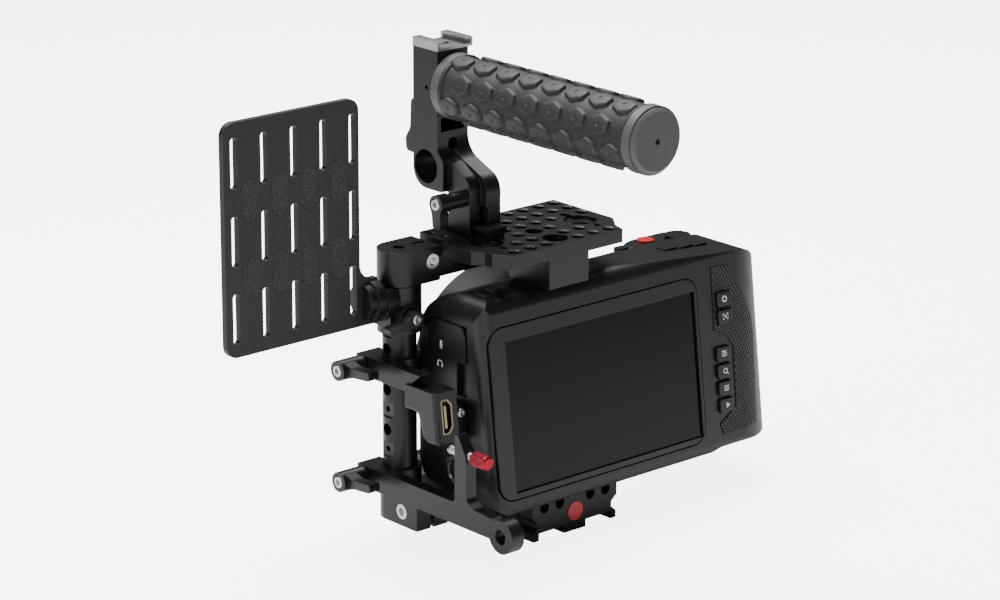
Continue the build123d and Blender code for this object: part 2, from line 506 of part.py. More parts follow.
def make_panel_stub():
    """Turned stub with a slotted flange: holds the panel's neck and turns in the knuckle."""
    x_end = PANEL[1] + PANEL_NECK
    stub = cyl_x(PANEL[1] + 1.6, x_end - 4.0, POST_Y, STUB_Z, STUB_R - 1.2)
    stub += cyl_x(x_end - 4.2, KNUCKLE_X0 - GAP, POST_Y, STUB_Z, STUB_R)
    stub += cyl_x(KNUCKLE_X0 - GAP, -76.6, POST_Y, STUB_Z, 4.0 - RUN)
    y0, y1 = POST_Y - PANEL_T / 2, POST_Y + PANEL_T / 2
    return stub - box(PANEL[1], x_end + 0.02, y0, y1, STUB_Z - 12, STUB_Z + 12)


# ------------------------------------------------------------------------- arms
def arm_ring(z0, z1):
    """Split ring round the post, with the flat bar's front end beside it."""
    ring = cyl_z(POST_X, POST_Y, z0, z1, ARM_RING_R)
    ring += box(ARM_X0, POST_X, POST_Y - 8.5, ARM_FRONT, z0, z1)
    ring += box(POST_X, POST_X + 7.5, POST_Y, ARM_FRONT, z0, z1)
    ring -= cyl_z(POST_X, POST_Y, z0 - 1, z1 + 1, ROD_R + RUN)
    ring -= box(POST_X - 1, POST_X + 1, POST_Y, ARM_FRONT + 1, z0, z1)
    return ring - cyl_x(ARM_X0 - 1, POST_X + 8, ARM_SCREW_Y, (z0 + z1) / 2, 1.9)


def make_upper_arm():
    """Bar on the post that ends in the block round the video port."""
    z0, z1 = UPPER_Z0, UPPER_Z1
    bar = prism_x([(POST_Y, z0), (POST_Y, z1), (-26.0, z1), (-18.5, PORT_TOP - 0.6), (-18.5, z0)],
                  ARM_X0, ARM_X1)
    lean = REAR_SLOPE * (PORT_TOP - 58.6)
    side = outline([(PORT_FRONT, PORT_TOP), (PORT_REAR, PORT_TOP), (PORT_REAR - lean, 58.6), (-31.6, 58.2),
                    (-28.6, 60.2), (-25.0, 70.4), (PORT_FRONT, 70.4)], {2: 1.0, 3: 1.5, 4: 2.0, 5: 2.0})
    block = along_x(side, PORT_X0, PORT_X1)
    rear_edge = block.edges().filter_by(lambda e: abs(e.center().X - PORT_X0) < 0.1
                                        and e.center().Y < PORT_REAR - 0.5
                                        and 60 < e.center().Z < PORT_TOP - 1)
    arm = arm_ring(z0, z1) + bar + fillet(rear_edge, 1.8)
    return arm - on_port(socket_outline(-0.02), 12.0)


def on_port(face, depth):
    """Extrudes a (x, height) outline inwards from the block's leaning rear face."""
    solid = extrude(Plane.XZ.offset(2.0) * face, depth + 2.0, dir=(0, 1, 0))
    return Pos(0, PORT_REAR, PORT_TOP) * Rot(-REAR_TILT, 0, 0) * Pos(0, 0, -PORT_TOP) * solid


def socket_outline(inset):
    """Outline of the video socket: two corners cut on the camera's side."""
    x0, x1 = PORT_CX - 2.9 + inset, PORT_CX + 2.9 - inset
    z0, z1 = PORT_Z0 + inset, PORT_Z1 - inset
    return outline([(x0, z0), (x1 - 2.2, z0), (x1, z0 + 2.6), (x1, z1 - 2.6), (x1 - 2.2, z1), (x0, z1)],
                   {0: 0.4, 5: 0.4})


def make_video_port():
    """Metal socket shell set into the block, open to the rear, with its contact tongue."""
    shell = on_port(socket_outline(0.0), 11.9) - on_port(socket_outline(0.55), 8.0)
    tongue = on_port(outline([(PORT_CX - 1.5, PORT_Z0 + 2.6), (PORT_CX - 0.3, PORT_Z0 + 2.6),
                              (PORT_CX - 0.3, PORT_Z1 - 2.6), (PORT_CX - 1.5, PORT_Z1 - 2.6)], {}), 9.0)
    cutter = on_port(outline([(-90, 50), (-60, 50), (-60, 90), (-90, 90)], {}), 0.0)
    return shell + tongue - cutter


def make_lower_arm():
    """Bar on the post with an eye at its rear end and a branch that carries the thumb screw."""
    z0, z1 = LOWER_Z0, LOWER_Z1
    bar = outline([(POST_Y, z0), (POST_Y, z1), (-48.3, z1), (-48.3, 66.6), (-50.4, 66.8), (-55.4, 58.5),
                   (-56.0, 38.5), (-60.5, z1), (EYE_Y + 6, z1 - 0.6), (EYE_Y, EYE_Z + 5.0),
                   (EYE_Y, EYE_Z - 5.0), (EYE_Y + 6, z0)], {2: 2.0, 5: 6.0, 6: 3.0, 7: 3.0})
    arm = arm_ring(z0, z1) + along_x(bar, ARM_X0, ARM_X1)
    arm += cyl_x(ARM_X0, ARM_X1 + 1.2, EYE_Y, EYE_Z, EYE_R)
    arm -= cyl_x(ARM_X0 - 1, ARM_X1 + 2, EYE_Y, EYE_Z, 3.3)
    return arm - cyl_y(THUMB_X, -57, -47, THUMB_Z, 2.1)


def make_arm_lever(z_mid):
    """Clamp lever: round hub, a wing towards the rear, and the screw through the ring."""
    lever = cyl_x(ARM_LEVER_X, ARM_X0 - GAP, 0, 0, 4.5)
    wing = Rot(-4, 0, 0) * lever_blade(19.0, 5.6, 4.5, 1.9)
    lever += Pos(ARM_LEVER_X + 2.0, 0, 0) * wing
    lever -= cyl_x(ARM_LEVER_X - 1, ARM_LEVER_X + 0.7, 0, 0, 2.7)
    lever += cyl_x(ARM_X0 - GAP - 0.1, POST_X + 7.0, 0, 0, 1.9 - RUN)
    return Pos(0, ARM_SCREW_Y, z_mid) * lever


def make_thumb_screw():
    """Red knurled thumb screw that locks the cable plug in the video port's block."""
    knob = cyl_y(THUMB_X, -66.8, THUMB_Y - GAP, THUMB_Z, 3.3)
    return knob + cyl_y(THUMB_X, THUMB_Y - 0.4, -42.0, THUMB_Z, 2.1 - RUN)


# ----------------------------------------------------------------------- camera
def body_block(inset=0.0):
    """The camera's main body: front view, leaning top view and side profile crossed."""
    left, right = BODY_LEFT + inset, BODY_RIGHT - inset
    low, high = BODY_BOTTOM + inset, BODY_TOP - inset
    points = [(left, low), (73, low), (79, low + 3), (right, low + 3), (right, high - TOP_DROP),
              (TOP_KNEE, high), (left, high)]
    radii = {0: 13.0, 3: 10.0, 4: 26.0, 5: 60.0, 6: 10.0}
    front_view = outline(points, {k: max(r - inset, 1.0) for k, r in radii.items()})
    slab = extrude(Plane.XZ.offset(70) * front_view, 110, dir=(0, 1, 0))
    plan = outline([(left, inset), (right, inset), (right, 90), (left, 90)],
                   {0: max(LEFT_R - inset, 1.0), 1: END_R - inset})
    leaning = on_rear(extrude(Plane.XY.offset(-80) * plan, 280, dir=(0, 0, 1)))
    y_low, y_high, front = rear_y(low) + inset, rear_y(high) + inset, BODY_FRONT - inset
    profile = outline([(y_low, low), (front, low), (front, high), (y_high, high)],
                      {0: max(5.0 - inset, 1.0), 1: 20.0 - inset, 2: 24.0 - inset, 3: max(7.0 - inset, 1.0)})
    return slab & leaning & along_x(profile, BODY_LEFT - 5, BODY_RIGHT + 5)


def grip_block(inset=0.0):
    """The hand grip that bulges forward on the right."""
    block = box(78 + inset, 119.5 - inset, -20, 27 - inset, BODY_BOTTOM + 4.4 + inset, 104 - inset)
    edges = block.edges().filter_by(Axis.Z).sort_by(Axis.Y)[-2:]
    block = fillet(edges, 13.0 - inset)
    return fillet(block.faces().sort_by(Axis.Z)[-1].edges().sort_by(Axis.Y)[-1], 5.0)


def button_spots():
    """Rear buttons: name, x, distance up the leaning face."""
    return (("rear_button_iris", 85.0, 91.4), ("rear_button_focus", 85.0, 83.4),
            ("rear_button_rate", 82.7, 66.8), ("rear_button_zoom", 82.7, 58.8),
            ("rear_button_menu", 82.7, 50.9), ("rear_button_play", 82.7, 43.0))


def up_face(z):
    """Height z turned into a distance up the leaning rear face."""
    return REAR_Z0 + (z - REAR_Z0) / cos(radians(REAR_TILT))


def make_button(x, z):
    """Rear button with a rounded cap, and a stem that reaches into the shell."""
    s = up_face(z)
    cap = box(x - BUTTON_W / 2, x + BUTTON_W / 2, -BUTTON_OUT, 0.6, s - BUTTON_H / 2, s + BUTTON_H / 2)
    cap = soft_edges(cap, Axis.Y, 1.4)
    cap = fillet(cap.faces().sort_by(Axis.Y)[0].edges(), 0.5)
    cap += box(x - 2.0, x + 2.0, 0.5, 2.6, s - 2.0, s + 2.0)
    return on_rear(cap)


def make_rear_shell():
    shell = body_block() & box(-80, 140, -70, BODY_SPLIT, 0, 140)
    cavity = body_block(WALL) & box(-80, 140, -70, BODY_SPLIT + 1, 0, 140)
    shell -= cavity
    x0, x1, z0, z1 = BEZEL
    frame = box(x0 + 3.0, x1, -8, 3.6, up_face(z0), up_face(z1))
    shell += body_block() & on_rear(box(x0 + 1.0, x1 + 3, -1, 5.2, up_face(z0) - 3, up_face(z1) + 3))
    shell -= on_rear(soft_edges(frame, Axis.Y, 8.0))
    shell -= on_rear(texture_outline(-2.0, 18.0)) - body_block(0.8)
    for _, x, z in button_spots():
        s = up_face(z)
        well = box(x - BUTTON_W / 2 - GAP, x + BUTTON_W / 2 + GAP, -3, 1.6, s - BUTTON_H / 2 - GAP,
                   s + BUTTON_H / 2 + GAP)
        shell -= on_rear(soft_edges(well, Axis.Y, 1.6))
        shell -= on_rear(box(x - 2.0 - GAP, x + 2.0 + GAP, 0, 8, s - 2.0 - GAP, s + 2.0 + GAP))
    for y, x in KEY_SPOTS:
        shell -= box(x - KEY_W / 2 - GAP, x + KEY_W / 2 + GAP, y - KEY_D / 2 - GAP, y + KEY_D / 2 + GAP,
                     KEY_Z - 1.2, BODY_TOP + 1)
        shell -= box(x - 1.5 - GAP, x + 1.5 + GAP, y - 1.5 - GAP, y + 1.5 + GAP, KEY_Z - 8, BODY_TOP)
    shell -= box(DOOR_X - 1, BODY_LEFT + DOOR_T + GAP, DOOR_Y0 - GAP, DOOR_Y1 + 30, DOOR_Z0 - GAP, DOOR_Z1 + GAP)
    shell -= cyl_x(BODY_LEFT - 5, BODY_LEFT + 8, CONNECTOR_Y, CONNECTOR_Z, CONNECTOR_R + 0.02)
    shell -= cyl_z(*TOP_SCREW, BODY_TOP - 6, BODY_TOP + 1, 2.57)
    shell -= cyl_z(0, CAMERA_SCREW_Y, BODY_BOTTOM - 1, BODY_BOTTOM + 6, 2.57)
    return shell


def texture_outline(y0, y1, inset=0.0):
    """Outline of the textured pad beside the buttons, as a plate on the rear face."""
    i = inset
    points = [(79.0 + i, 107.0 - i), (89.5 - i, 106.0 - i), (94.0 - i, 98.0), (99.5 - i, 88.5),
              (103.6 - i, 81.0), (105.4 - i, 72.0), (102.6 - i, 30.4 + i), (80.0 + i, 29.6 + i),
              (78.6 + i, 35.0), (89.2 + i, 41.0), (89.6 + i, 69.0), (86.0 + i, 74.4), (78.4 + i, 78.0)]
    return prism_y([(x, up_face(z)) for x, z in points], y0, y1)


def make_rear_texture_pad():
    """Textured rubber that follows the body round its right end."""
    pad = on_rear(texture_outline(-2.0, 18.0, 0.12)) & body_block(-0.4)
    pad -= body_block(0.78)
    for _, x, z in button_spots()[:2]:
        s = up_face(z)
        pad -= on_rear(box(x - BUTTON_W / 2 - GAP, x + BUTTON_W / 2 + GAP, -3, 3, s - BUTTON_H / 2 - GAP,
                           s + BUTTON_H / 2 + GAP))
    return pad


def make_screen_bezel():
    """Raised frame round the screen, let into the rear shell."""
    x0, x1, z0, z1 = BEZEL
    s0, s1 = up_face(z0), up_face(z1)
    frame = soft_edges(box(x0 + 3.6, x1 - 0.6, -0.2, 3.5, s0 + 0.6, s1 - 0.6), Axis.Y, 7.4)
    gx0, gx1, gz0, gz1 = SCREEN
    frame -= box(gx0, gx1, -1, 2.2, up_face(gz0), up_face(gz1))
    return on_rear(frame)


def make_screen_glass():
    x0, x1, z0, z1 = SCREEN
    return on_rear(box(x0 + 0.05, x1 - 0.05, 1.0, 2.18, up_face(z0) + 0.05, up_face(z1) - 0.05))


def make_front_shell():
    shell = body_block() & box(-80, 140, BODY_SPLIT + 0.02, 30, 0, 140)
    shell += cyl_y(0, BODY_SPLIT + 8, LENS_FRONT, LENS_Z, LENS_R) & box(-80, 80, -20, 40, BODY_BOTTOM + 4, 140)
    shell += grip_block() & box(-80, 140, BODY_SPLIT + 0.02, 40, 0, 140)
    cavity = body_block(WALL) & box(-80, 140, BODY_SPLIT - 1, 30, 0, 140)
    shell -= cavity
    shell -= grip_block(WALL + 0.2) & box(0, 140, -10, 40, 0, 140)
    shell -= cyl_y(0, -20, LENS_FRONT - 3.0, LENS_Z, LENS_R - 6)
    shell -= cyl_y(0, LENS_FRONT - 4, LENS_FRONT + 1, LENS_Z, THROAT_R + 3)
    shell -= box(DOOR_X - 1, BODY_LEFT + DOOR_T + GAP, DOOR_Y0 - GAP, DOOR_Y1 + GAP, DOOR_Z0 - GAP, DOOR_Z1 + GAP)
    x, y = RECORD_XY
    shell -= cyl_z(x, y, 101.8, 106, 4.0 + GAP) + cyl_z(x, y, 95, 102, 1.5 + GAP)
    shell -= cyl_z(*DIAL_XY, DIAL_Z - 8, BODY_TOP + 2, 6.0 + GAP)
    for x, y in FUNCTION_SPOTS:
        shell -= cyl_z(x, y, FUNCTION_Z, BODY_TOP + 2, FUNCTION_R + GAP) + cyl_z(x, y, 95, 112, 1.2 + GAP)
    shell -= box(*POWER_X, *POWER_Y, POWER_Z - 1.0, BODY_TOP + 2)
    shell -= box(POWER_X[0] + 3, POWER_X[1] - 3, POWER_Y[0] + 2, POWER_Y[1] - 2, POWER_Z - 6, BODY_TOP)
    shell -= box(BATTERY_X0 + 0.2, BATTERY_X1 - 0.2, -11, 24.5, 0, BODY_BOTTOM + 12)
    shell -= cyl_y(RELEASE_X, LENS_FRONT - 5.4, LENS_FRONT + 1, RELEASE_Z, 3.0 + GAP)
    return shell


def make_grip_cover():
    """Rubber skin on the front of the hand grip."""
    skin = grip_block(-0.9) & box(70, 130, 6.0, 40, BODY_BOTTOM + 8, 98)
    return skin - grip_block(-0.02)


def make_lens_mount():
    ring = cyl_y(0, LENS_FRONT + 0.02, LENS_FRONT + 3.0, LENS_Z, MOUNT_R)
    ring += cyl_y(0, LENS_FRONT - 2.9, LENS_FRONT + 0.1, LENS_Z, THROAT_R + 2.9)
    ring -= cyl_y(0, LENS_FRONT - 4, LENS_FRONT + 4, LENS_Z, THROAT_R)
    for k in range(6):
        a = pi / 6 + k * pi / 3
        ring -= cyl_y(26.5 * cos(a), LENS_FRONT + 1.6, LENS_FRONT + 4, LENS_Z + 26.5 * sin(a), 1.5)
    return ring


def make_sensor_block():
    y = LENS_FRONT + 3.0 - FLANGE_DEPTH
    block = box(-24, 24, y - 8, y - 1.2, LENS_Z - 20, LENS_Z + 20)
    return block + box(-11.5, 11.5, y - 1.3, y, LENS_Z - 7.2, LENS_Z + 7.2)


def make_main_board():
    board = box(-47, 70, -25.6, -24.0, 30, 104)
    for x, z in ((-38, 88), (-38, 46), (20, 40), (60, 94)):
        board += box(x - 8, x + 8, -24.1, -21.4, z - 8, z + 8)
    return board - cyl_y(30, -27, -23, 69, 14)


def make_fan_housing():
    housing = box(12, 48, -23.2, -16.2, 51, 87)
    return housing - cyl_y(30, -24, -15, 69, 15.4) + cyl_y(30, -23.2, -22.2, 69, 16.5)


def make_fan_rotor():
    rotor = cyl_y(30, -21.8, -16.6, 69, 6.0)
    for k in range(7):
        rotor += Pos(30, -19.2, 69) * Rot(0, k * 360 / 7, 0) * box(5, 14.6, -2.2, 2.2, -0.5, 0.5)
    return rotor


def make_battery():
    return soft_edges(box(85.5, 113.5, -9.0, 19.5, BODY_BOTTOM + 8.4, 84), Axis.Z, 2.0)


def make_battery_door():
    z = BODY_BOTTOM + 4.6
    x0, x1 = BATTERY_X0 + 0.5, BATTERY_X1 - 0.5
    return box(x0, x1, -10.4, 22.0, z, z + 2.0)


def make_connector():
    ring = cyl_x(BODY_LEFT - 1.0, BODY_LEFT + 7.5, CONNECTOR_Y, CONNECTOR_Z, CONNECTOR_R)
    ring -= cyl_x(BODY_LEFT - 2, BODY_LEFT + 5.5, CONNECTOR_Y, CONNECTOR_Z, 4.6)
    return ring + cyl_x(BODY_LEFT + 0.5, BODY_LEFT + 6, CONNECTOR_Y, CONNECTOR_Z, 2.6)


def make_port_door():
    door = box(DOOR_X, BODY_LEFT + DOOR_T, DOOR_Y0, DOOR_Y1, DOOR_Z0, DOOR_Z1)
    door = fillet(door.edges().filter_by(Axis.X), 5.0)
    return door - box(DOOR_X - 1, BODY_LEFT + 3, DOOR_Y0 - 1, DOOR_Y0 + 5.0, DOOR_Z0 - 1, DOOR_Z0 + 15.0)


def make_top_key(x, y):
    key = soft_edges(box(x - KEY_W / 2, x + KEY_W / 2, y - KEY_D / 2, y + KEY_D / 2, KEY_Z + 0.6, top_z(x, y) + 0.9),
                     Axis.Z, 1.0)
    return key + box(x - 1.5, x + 1.5, y - 1.5, y + 1.5, KEY_Z - 1.8, KEY_Z + 0.7)


def make_record_button():
    x, y = RECORD_XY
    return cyl_z(x, y, 102.6, 105.2, 4.0) + cyl_z(x, y, 99.5, 102.7, 1.5)


def make_function_buttons():
    """Three small domed buttons in front of the keys."""
    buttons = []
    for x, y in FUNCTION_SPOTS:
        cap = cyl_z(x, y, FUNCTION_Z + 0.9, top_z(x, y) + 1.0, FUNCTION_R)
        cap = fillet(cap.faces().sort_by(Axis.Z)[-1].edges(), 0.9)
        buttons.append(cap + cyl_z(x, y, FUNCTION_Z - 3.5, FUNCTION_Z + 1.0, 1.2))
    return Compound(children=buttons)


def top_z(x, y):
    """Height of the body's sloping top, with its rounded front edge, over (x, y)."""
    run = max(y - (BODY_FRONT - 24.0), 0.0)
    drop = max(x - TOP_KNEE, 0.0) * TOP_DROP / (BODY_RIGHT - TOP_KNEE)
    return BODY_TOP - drop - 24.0 + (24.0 ** 2 - run ** 2) ** 0.5


def make_power_switch():
    x0, x1 = POWER_X
    y0, y1 = POWER_Y
    lever = box(x0 + 2.6, x1 - 6.0, y0 + 1.2, y1 - 1.2, POWER_Z - 0.7, POWER_Z + 3.0)
    return lever


def make_front_dial():
    x, y = DIAL_XY
    dial = cyl_z(x, y, DIAL_Z - 3, DIAL_Z + 3.4, 6.0)
    for k in range(18):
        a = k * 2 * pi / 18
        dial -= cyl_z(x + 6.0 * cos(a), y + 6.0 * sin(a), DIAL_Z - 1, DIAL_Z + 4, 0.5)
    return dial


def make_lens_release():
    return cyl_y(RELEASE_X, LENS_FRONT - 3.6, LENS_FRONT + 2.2, RELEASE_Z, 3.0)


# ----------------------------------------------------------------------- export
def parts():
    upper_mid, lower_mid = (UPPER_Z0 + UPPER_Z1) / 2, (LOWER_Z0 + LOWER_Z1) / 2
    yield "base_plate", make_base_plate()
    yield "base_badge", make_base_badge()
    yield "camera_screws", make_camera_screws()
    yield "base_arm", make_base_arm()
    yield "clamp_screws", make_clamp_screws()
    yield "post", make_post()
    yield "top_clamp", make_top_clamp()
    yield "top_plate", make_top_plate()
    yield "plate_screws", make_plate_screws()
    yield "handle_rail", make_handle_rail()
    yield "handle_riser", make_handle_riser()
    yield "cold_shoe", make_cold_shoe()
    yield "shoe_screw", make_shoe_screw()
    yield "grip_core", make_grip_core()
    yield "grip_bolt", make_grip_bolt()
    yield "grip_sleeve", make_grip_sleeve()
    yield "grip_collar", make_grip_collar()
    yield "grip_end_cap", make_grip_end_cap()
    yield "handle_lever", make_handle_lever()
    yield "rod_lock_lever", make_rod_lock_lever()
    yield "knuckle_clamp", make_knuckle_clamp()
    yield "knuckle_lever", make_knuckle_lever()
    yield "panel", make_panel()
    yield "panel_pads", make_panel_pads()
    yield "panel_stub", make_panel_stub()
    yield "upper_arm", make_upper_arm()
    yield "video_port", make_video_port()
    yield "upper_lever", make_arm_lever(upper_mid)
    yield "lower_arm", make_lower_arm()
    yield "lower_lever", make_arm_lever(lower_mid)
    yield "thumb_screw", make_thumb_screw()
    yield "rear_shell", make_rear_shell()
    yield "front_shell", make_front_shell()
    yield "screen_bezel", make_screen_bezel()
    yield "screen_glass", make_screen_glass()
    yield "rear_texture_pad", make_rear_texture_pad()
    yield "grip_cover", make_grip_cover()
    yield "lens_mount", make_lens_mount()
    yield "lens_release", make_lens_release()
    yield "sensor_block", make_sensor_block()
    yield "main_board", make_main_board()
    yield "fan_housing", make_fan_housing()
    yield "fan_rotor", make_fan_rotor()
    yield "battery", make_battery()
    yield "battery_door", make_battery_door()
    yield "power_connector", make_connector()
    yield "port_door", make_port_door()
    for name, x, z in button_spots():
        yield name, make_button(x, z)
    for k, (y, x) in enumerate(KEY_SPOTS):
        yield "top_key_%d" % (k + 1), make_top_key(x, y)
    yield "record_button", make_record_button()
    yield "function_buttons", make_function_buttons()
    yield "power_switch", make_power_switch()
    yield "front_dial", make_front_dial()


for name, shape in parts():
    export_step(shape, "parts/%s.step" % name)
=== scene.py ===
# %% [markdown]
# # Cinema camera rig
# A small cinema camera sits in a black half cage with a rubber top handle, a slotted
# accessory panel on the left, two clamp arms beside a round post, and a dovetail base plate.
# The engineering model is loaded first and stays where it is. Everything below either gives
# one of its pieces a finish, or makes a finer piece that stands in its place.

# %% Load the frame
import bpy
import bmesh
import json
import math
from math import cos, pi, radians, sin
from mathutils import Matrix, Vector


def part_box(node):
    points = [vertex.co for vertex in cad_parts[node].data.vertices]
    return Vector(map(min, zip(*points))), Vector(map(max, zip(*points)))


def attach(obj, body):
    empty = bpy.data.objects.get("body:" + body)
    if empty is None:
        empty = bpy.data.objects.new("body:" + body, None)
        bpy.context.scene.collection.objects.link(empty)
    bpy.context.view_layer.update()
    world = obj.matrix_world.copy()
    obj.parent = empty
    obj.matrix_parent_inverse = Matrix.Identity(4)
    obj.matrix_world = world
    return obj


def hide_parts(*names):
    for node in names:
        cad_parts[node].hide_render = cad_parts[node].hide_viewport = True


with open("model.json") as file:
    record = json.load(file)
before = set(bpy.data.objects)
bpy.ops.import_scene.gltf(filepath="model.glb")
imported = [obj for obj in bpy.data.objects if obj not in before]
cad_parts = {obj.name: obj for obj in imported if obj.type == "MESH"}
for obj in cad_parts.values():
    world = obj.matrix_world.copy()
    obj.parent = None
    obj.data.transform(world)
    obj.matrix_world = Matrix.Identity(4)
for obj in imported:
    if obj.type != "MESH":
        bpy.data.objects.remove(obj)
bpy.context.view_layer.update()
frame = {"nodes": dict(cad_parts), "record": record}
nodes = frame["nodes"]
MM = 0.001


# %% [markdown]
# ## Camera
# A product picture is taken from a distance with a long lens, so that parallel edges stay
# nearly parallel. The view looks from the rear left and a little from above. The camera is
# built from an aim point, two angles and a distance, so each of them can be read and changed.

# %% Camera
AIM = Vector((-5.1, 8.5, 97.4)) * MM
AZIMUTH, ELEVATION, ROLL = radians(-41.41), radians(17.34), radians(0.19)
DISTANCE = 1.556
FOCAL_MM, SENSOR_MM = 126.0, 36.0


def add_camera():
    right = Vector((cos(AZIMUTH), sin(AZIMUTH), 0))
    back = Vector((sin(AZIMUTH) * cos(ELEVATION), -cos(AZIMUTH) * cos(ELEVATION), sin(ELEVATION)))
    up = back.cross(right)
    rolled_right = right * cos(ROLL) + up * sin(ROLL)
    rolled_up = up * cos(ROLL) - right * sin(ROLL)
    data = bpy.data.cameras.new("studio_camera")
    data.lens, data.sensor_width = FOCAL_MM, SENSOR_MM
    data.clip_start, data.clip_end = 0.1, 20.0
    obj = bpy.data.objects.new("studio_camera", data)
    axes = Matrix((rolled_right, rolled_up, back)).transposed().to_4x4()
    obj.matrix_world = Matrix.Translation(AIM + back * DISTANCE) @ axes
    bpy.context.scene.collection.objects.link(obj)
    bpy.context.scene.camera = obj
    return obj


camera = add_camera()
print("camera at", [round(v, 3) for v in camera.matrix_world.translation])


# %% [markdown]
# ## Studio
# A black object on white needs light that it can mirror, or its shape is lost. Four soft lamps
# stand in for the panels of a studio: a broad one overhead, a tall one on the left that draws
# the long highlights on the panel and the grip, and two weak ones, high and low, near the camera.
# The floor is one large pale sheet. A catalogue picture burns the sheet and the room out to
# white while the product stays dark, so both are bright only where the camera sees them
# directly. What they send onto the rig, and what the glossy parts mirror, stays dim.

# %% Floor
SHOWN_WHITE = 5.0


def shader_material(name, **values):
    """A new material and its Principled shader, with plain values set on the shader itself."""
    material = bpy.data.materials.new(name)
    material.use_nodes = True
    shader = material.node_tree.nodes["Principled BSDF"]
    for socket, value in values.items():
        shader.inputs[socket.replace("_", " ")].default_value = value
    return material, shader


def add_floor():
    sheet = bmesh.new()
    bmesh.ops.create_grid(sheet, x_segments=4, y_segments=4, size=5.0)
    data = bpy.data.meshes.new("studio_floor")
    sheet.to_mesh(data)
    sheet.free()
    floor = bpy.data.objects.new("studio_floor", data)
    bpy.context.scene.collection.objects.link(floor)
    material, shader = shader_material("white_paper", Roughness=0.85, Specular_IOR_Level=0.15)
    noise = material.node_tree.nodes.new("ShaderNodeTexNoise")
    noise.inputs["Scale"].default_value = 3.0
    tint = material.node_tree.nodes.new("ShaderNodeMix")
    tint.data_type = "RGBA"
    tint.inputs["A"].default_value = (0.93, 0.93, 0.935, 1)
    tint.inputs["B"].default_value = (0.96, 0.96, 0.96, 1)
    place = material.node_tree.nodes.new("ShaderNodeTexCoord")
    links = material.node_tree.links
    links.new(place.outputs["Object"], noise.inputs["Vector"])
    links.new(noise.outputs["Fac"], tint.inputs["Factor"])
    links.new(tint.outputs["Result"], shader.inputs["Base Color"])
    path = material.node_tree.nodes.new("ShaderNodeLightPath")
    shine = material.node_tree.nodes.new("ShaderNodeMath")
    shine.operation = "MULTIPLY"
    shine.inputs[1].default_value = SHOWN_WHITE
    links.new(path.outputs["Is Camera Ray"], shine.inputs[0])
    links.new(shine.outputs[0], shader.inputs["Emission Strength"])
    shader.inputs["Emission Color"].default_value = (1, 1, 1, 1)
    data.materials.append(material)
    return floor


floor = add_floor()
print("floor is 10 m square")


# %% World and lamps
def add_world(strength):
    world = bpy.data.worlds.new("white_room")
    world.use_nodes = True
    background = world.node_tree.nodes["Background"]
    background.inputs["Color"].default_value = (1, 1, 1, 1)
    background.inputs["Strength"].default_value = strength
    path = world.node_tree.nodes.new("ShaderNodeLightPath")
    seen = world.node_tree.nodes.new("ShaderNodeMath")
    seen.operation = "MULTIPLY_ADD"
    seen.inputs[1].default_value, seen.inputs[2].default_value = SHOWN_WHITE, strength
    world.node_tree.links.new(path.outputs["Is Camera Ray"], seen.inputs[0])
    world.node_tree.links.new(seen.outputs[0], background.inputs["Strength"])
    bpy.context.scene.world = world


def add_softbox(name, place, width, height, watts):
    """A rectangular lamp that faces the middle of the rig."""
    lamp = bpy.data.lights.new(name, "AREA")
    lamp.shape = "RECTANGLE"
    lamp.size, lamp.size_y, lamp.energy = width, height, watts
    obj = bpy.data.objects.new(name, lamp)
    obj.location = Vector(place)
    obj.rotation_euler = (AIM - obj.location).to_track_quat("-Z", "Y").to_euler()
    bpy.context.scene.collection.objects.link(obj)
    return obj


add_world(0.07)
lamps = [add_softbox("overhead_softbox", (0.1, 0.25, 1.1), 1.1, 0.8, 28),
         add_softbox("left_softbox", (-1.2, -0.1, 0.75), 0.45, 1.0, 8),
         add_softbox("rear_softbox", (-0.9, -1.3, 0.9), 0.5, 0.5, 2.5),
         add_softbox("low_softbox", (-0.5, -1.2, 0.12), 0.9, 0.15, 1.2)]
print("lamps", [lamp.name for lamp in lamps])


# %% [markdown]
# ## Shared surface effects
# Nearly every part here is black, so the finishes differ in grain and gloss rather than in
# colour. Two effects return in many of them. A fine grain makes a surface anodised, powdered
# or moulded according to its scale and depth. An edge mask finds the rounded edges by comparing
# a bevelled normal with the true one. The finishes lighten the colour there, partly as rubbing
# where handling polishes a finish and partly as a painted highlight where light catches. Each is
# a node group with named inputs, so a material only states its own values.

# %% Node helpers
def value_socket(group, name, default=0.0):
    socket = group.interface.new_socket(name, in_out="INPUT", socket_type="NodeSocketFloat")
    socket.default_value = default


def add_math(tree, operation, first, second=None, clamp=False):
    """A Math node whose inputs are sockets or plain numbers."""
    node = tree.nodes.new("ShaderNodeMath")
    node.operation, node.use_clamp = operation, clamp
    for socket, source in zip(node.inputs, (first, second)):
        if source is None:
            continue
        if isinstance(source, (int, float)):
            socket.default_value = source
        else:
            tree.links.new(source, socket)
    return node.outputs[0]


def add_noise(tree, vector, scale, detail=2.0):
    node = tree.nodes.new("ShaderNodeTexNoise")
    node.inputs["Detail"].default_value = detail
    tree.links.new(vector, node.inputs["Vector"])
    if isinstance(scale, (int, float)):
        node.inputs["Scale"].default_value = scale
    else:
        tree.links.new(scale, node.inputs["Scale"])
    return node.outputs["Fac"]


def add_mix(tree, factor, first, second):
    """Mixes two colours. Each is a colour socket or a plain RGB."""
    node = tree.nodes.new("ShaderNodeMix")
    node.data_type = "RGBA"
    tree.links.new(factor, node.inputs["Factor"])
    for name, source in (("A", first), ("B", second)):
        if isinstance(source, tuple):
            node.inputs[name].default_value = (*source, 1)
        else:
            tree.links.new(source, node.inputs[name])
    return node.outputs["Result"]


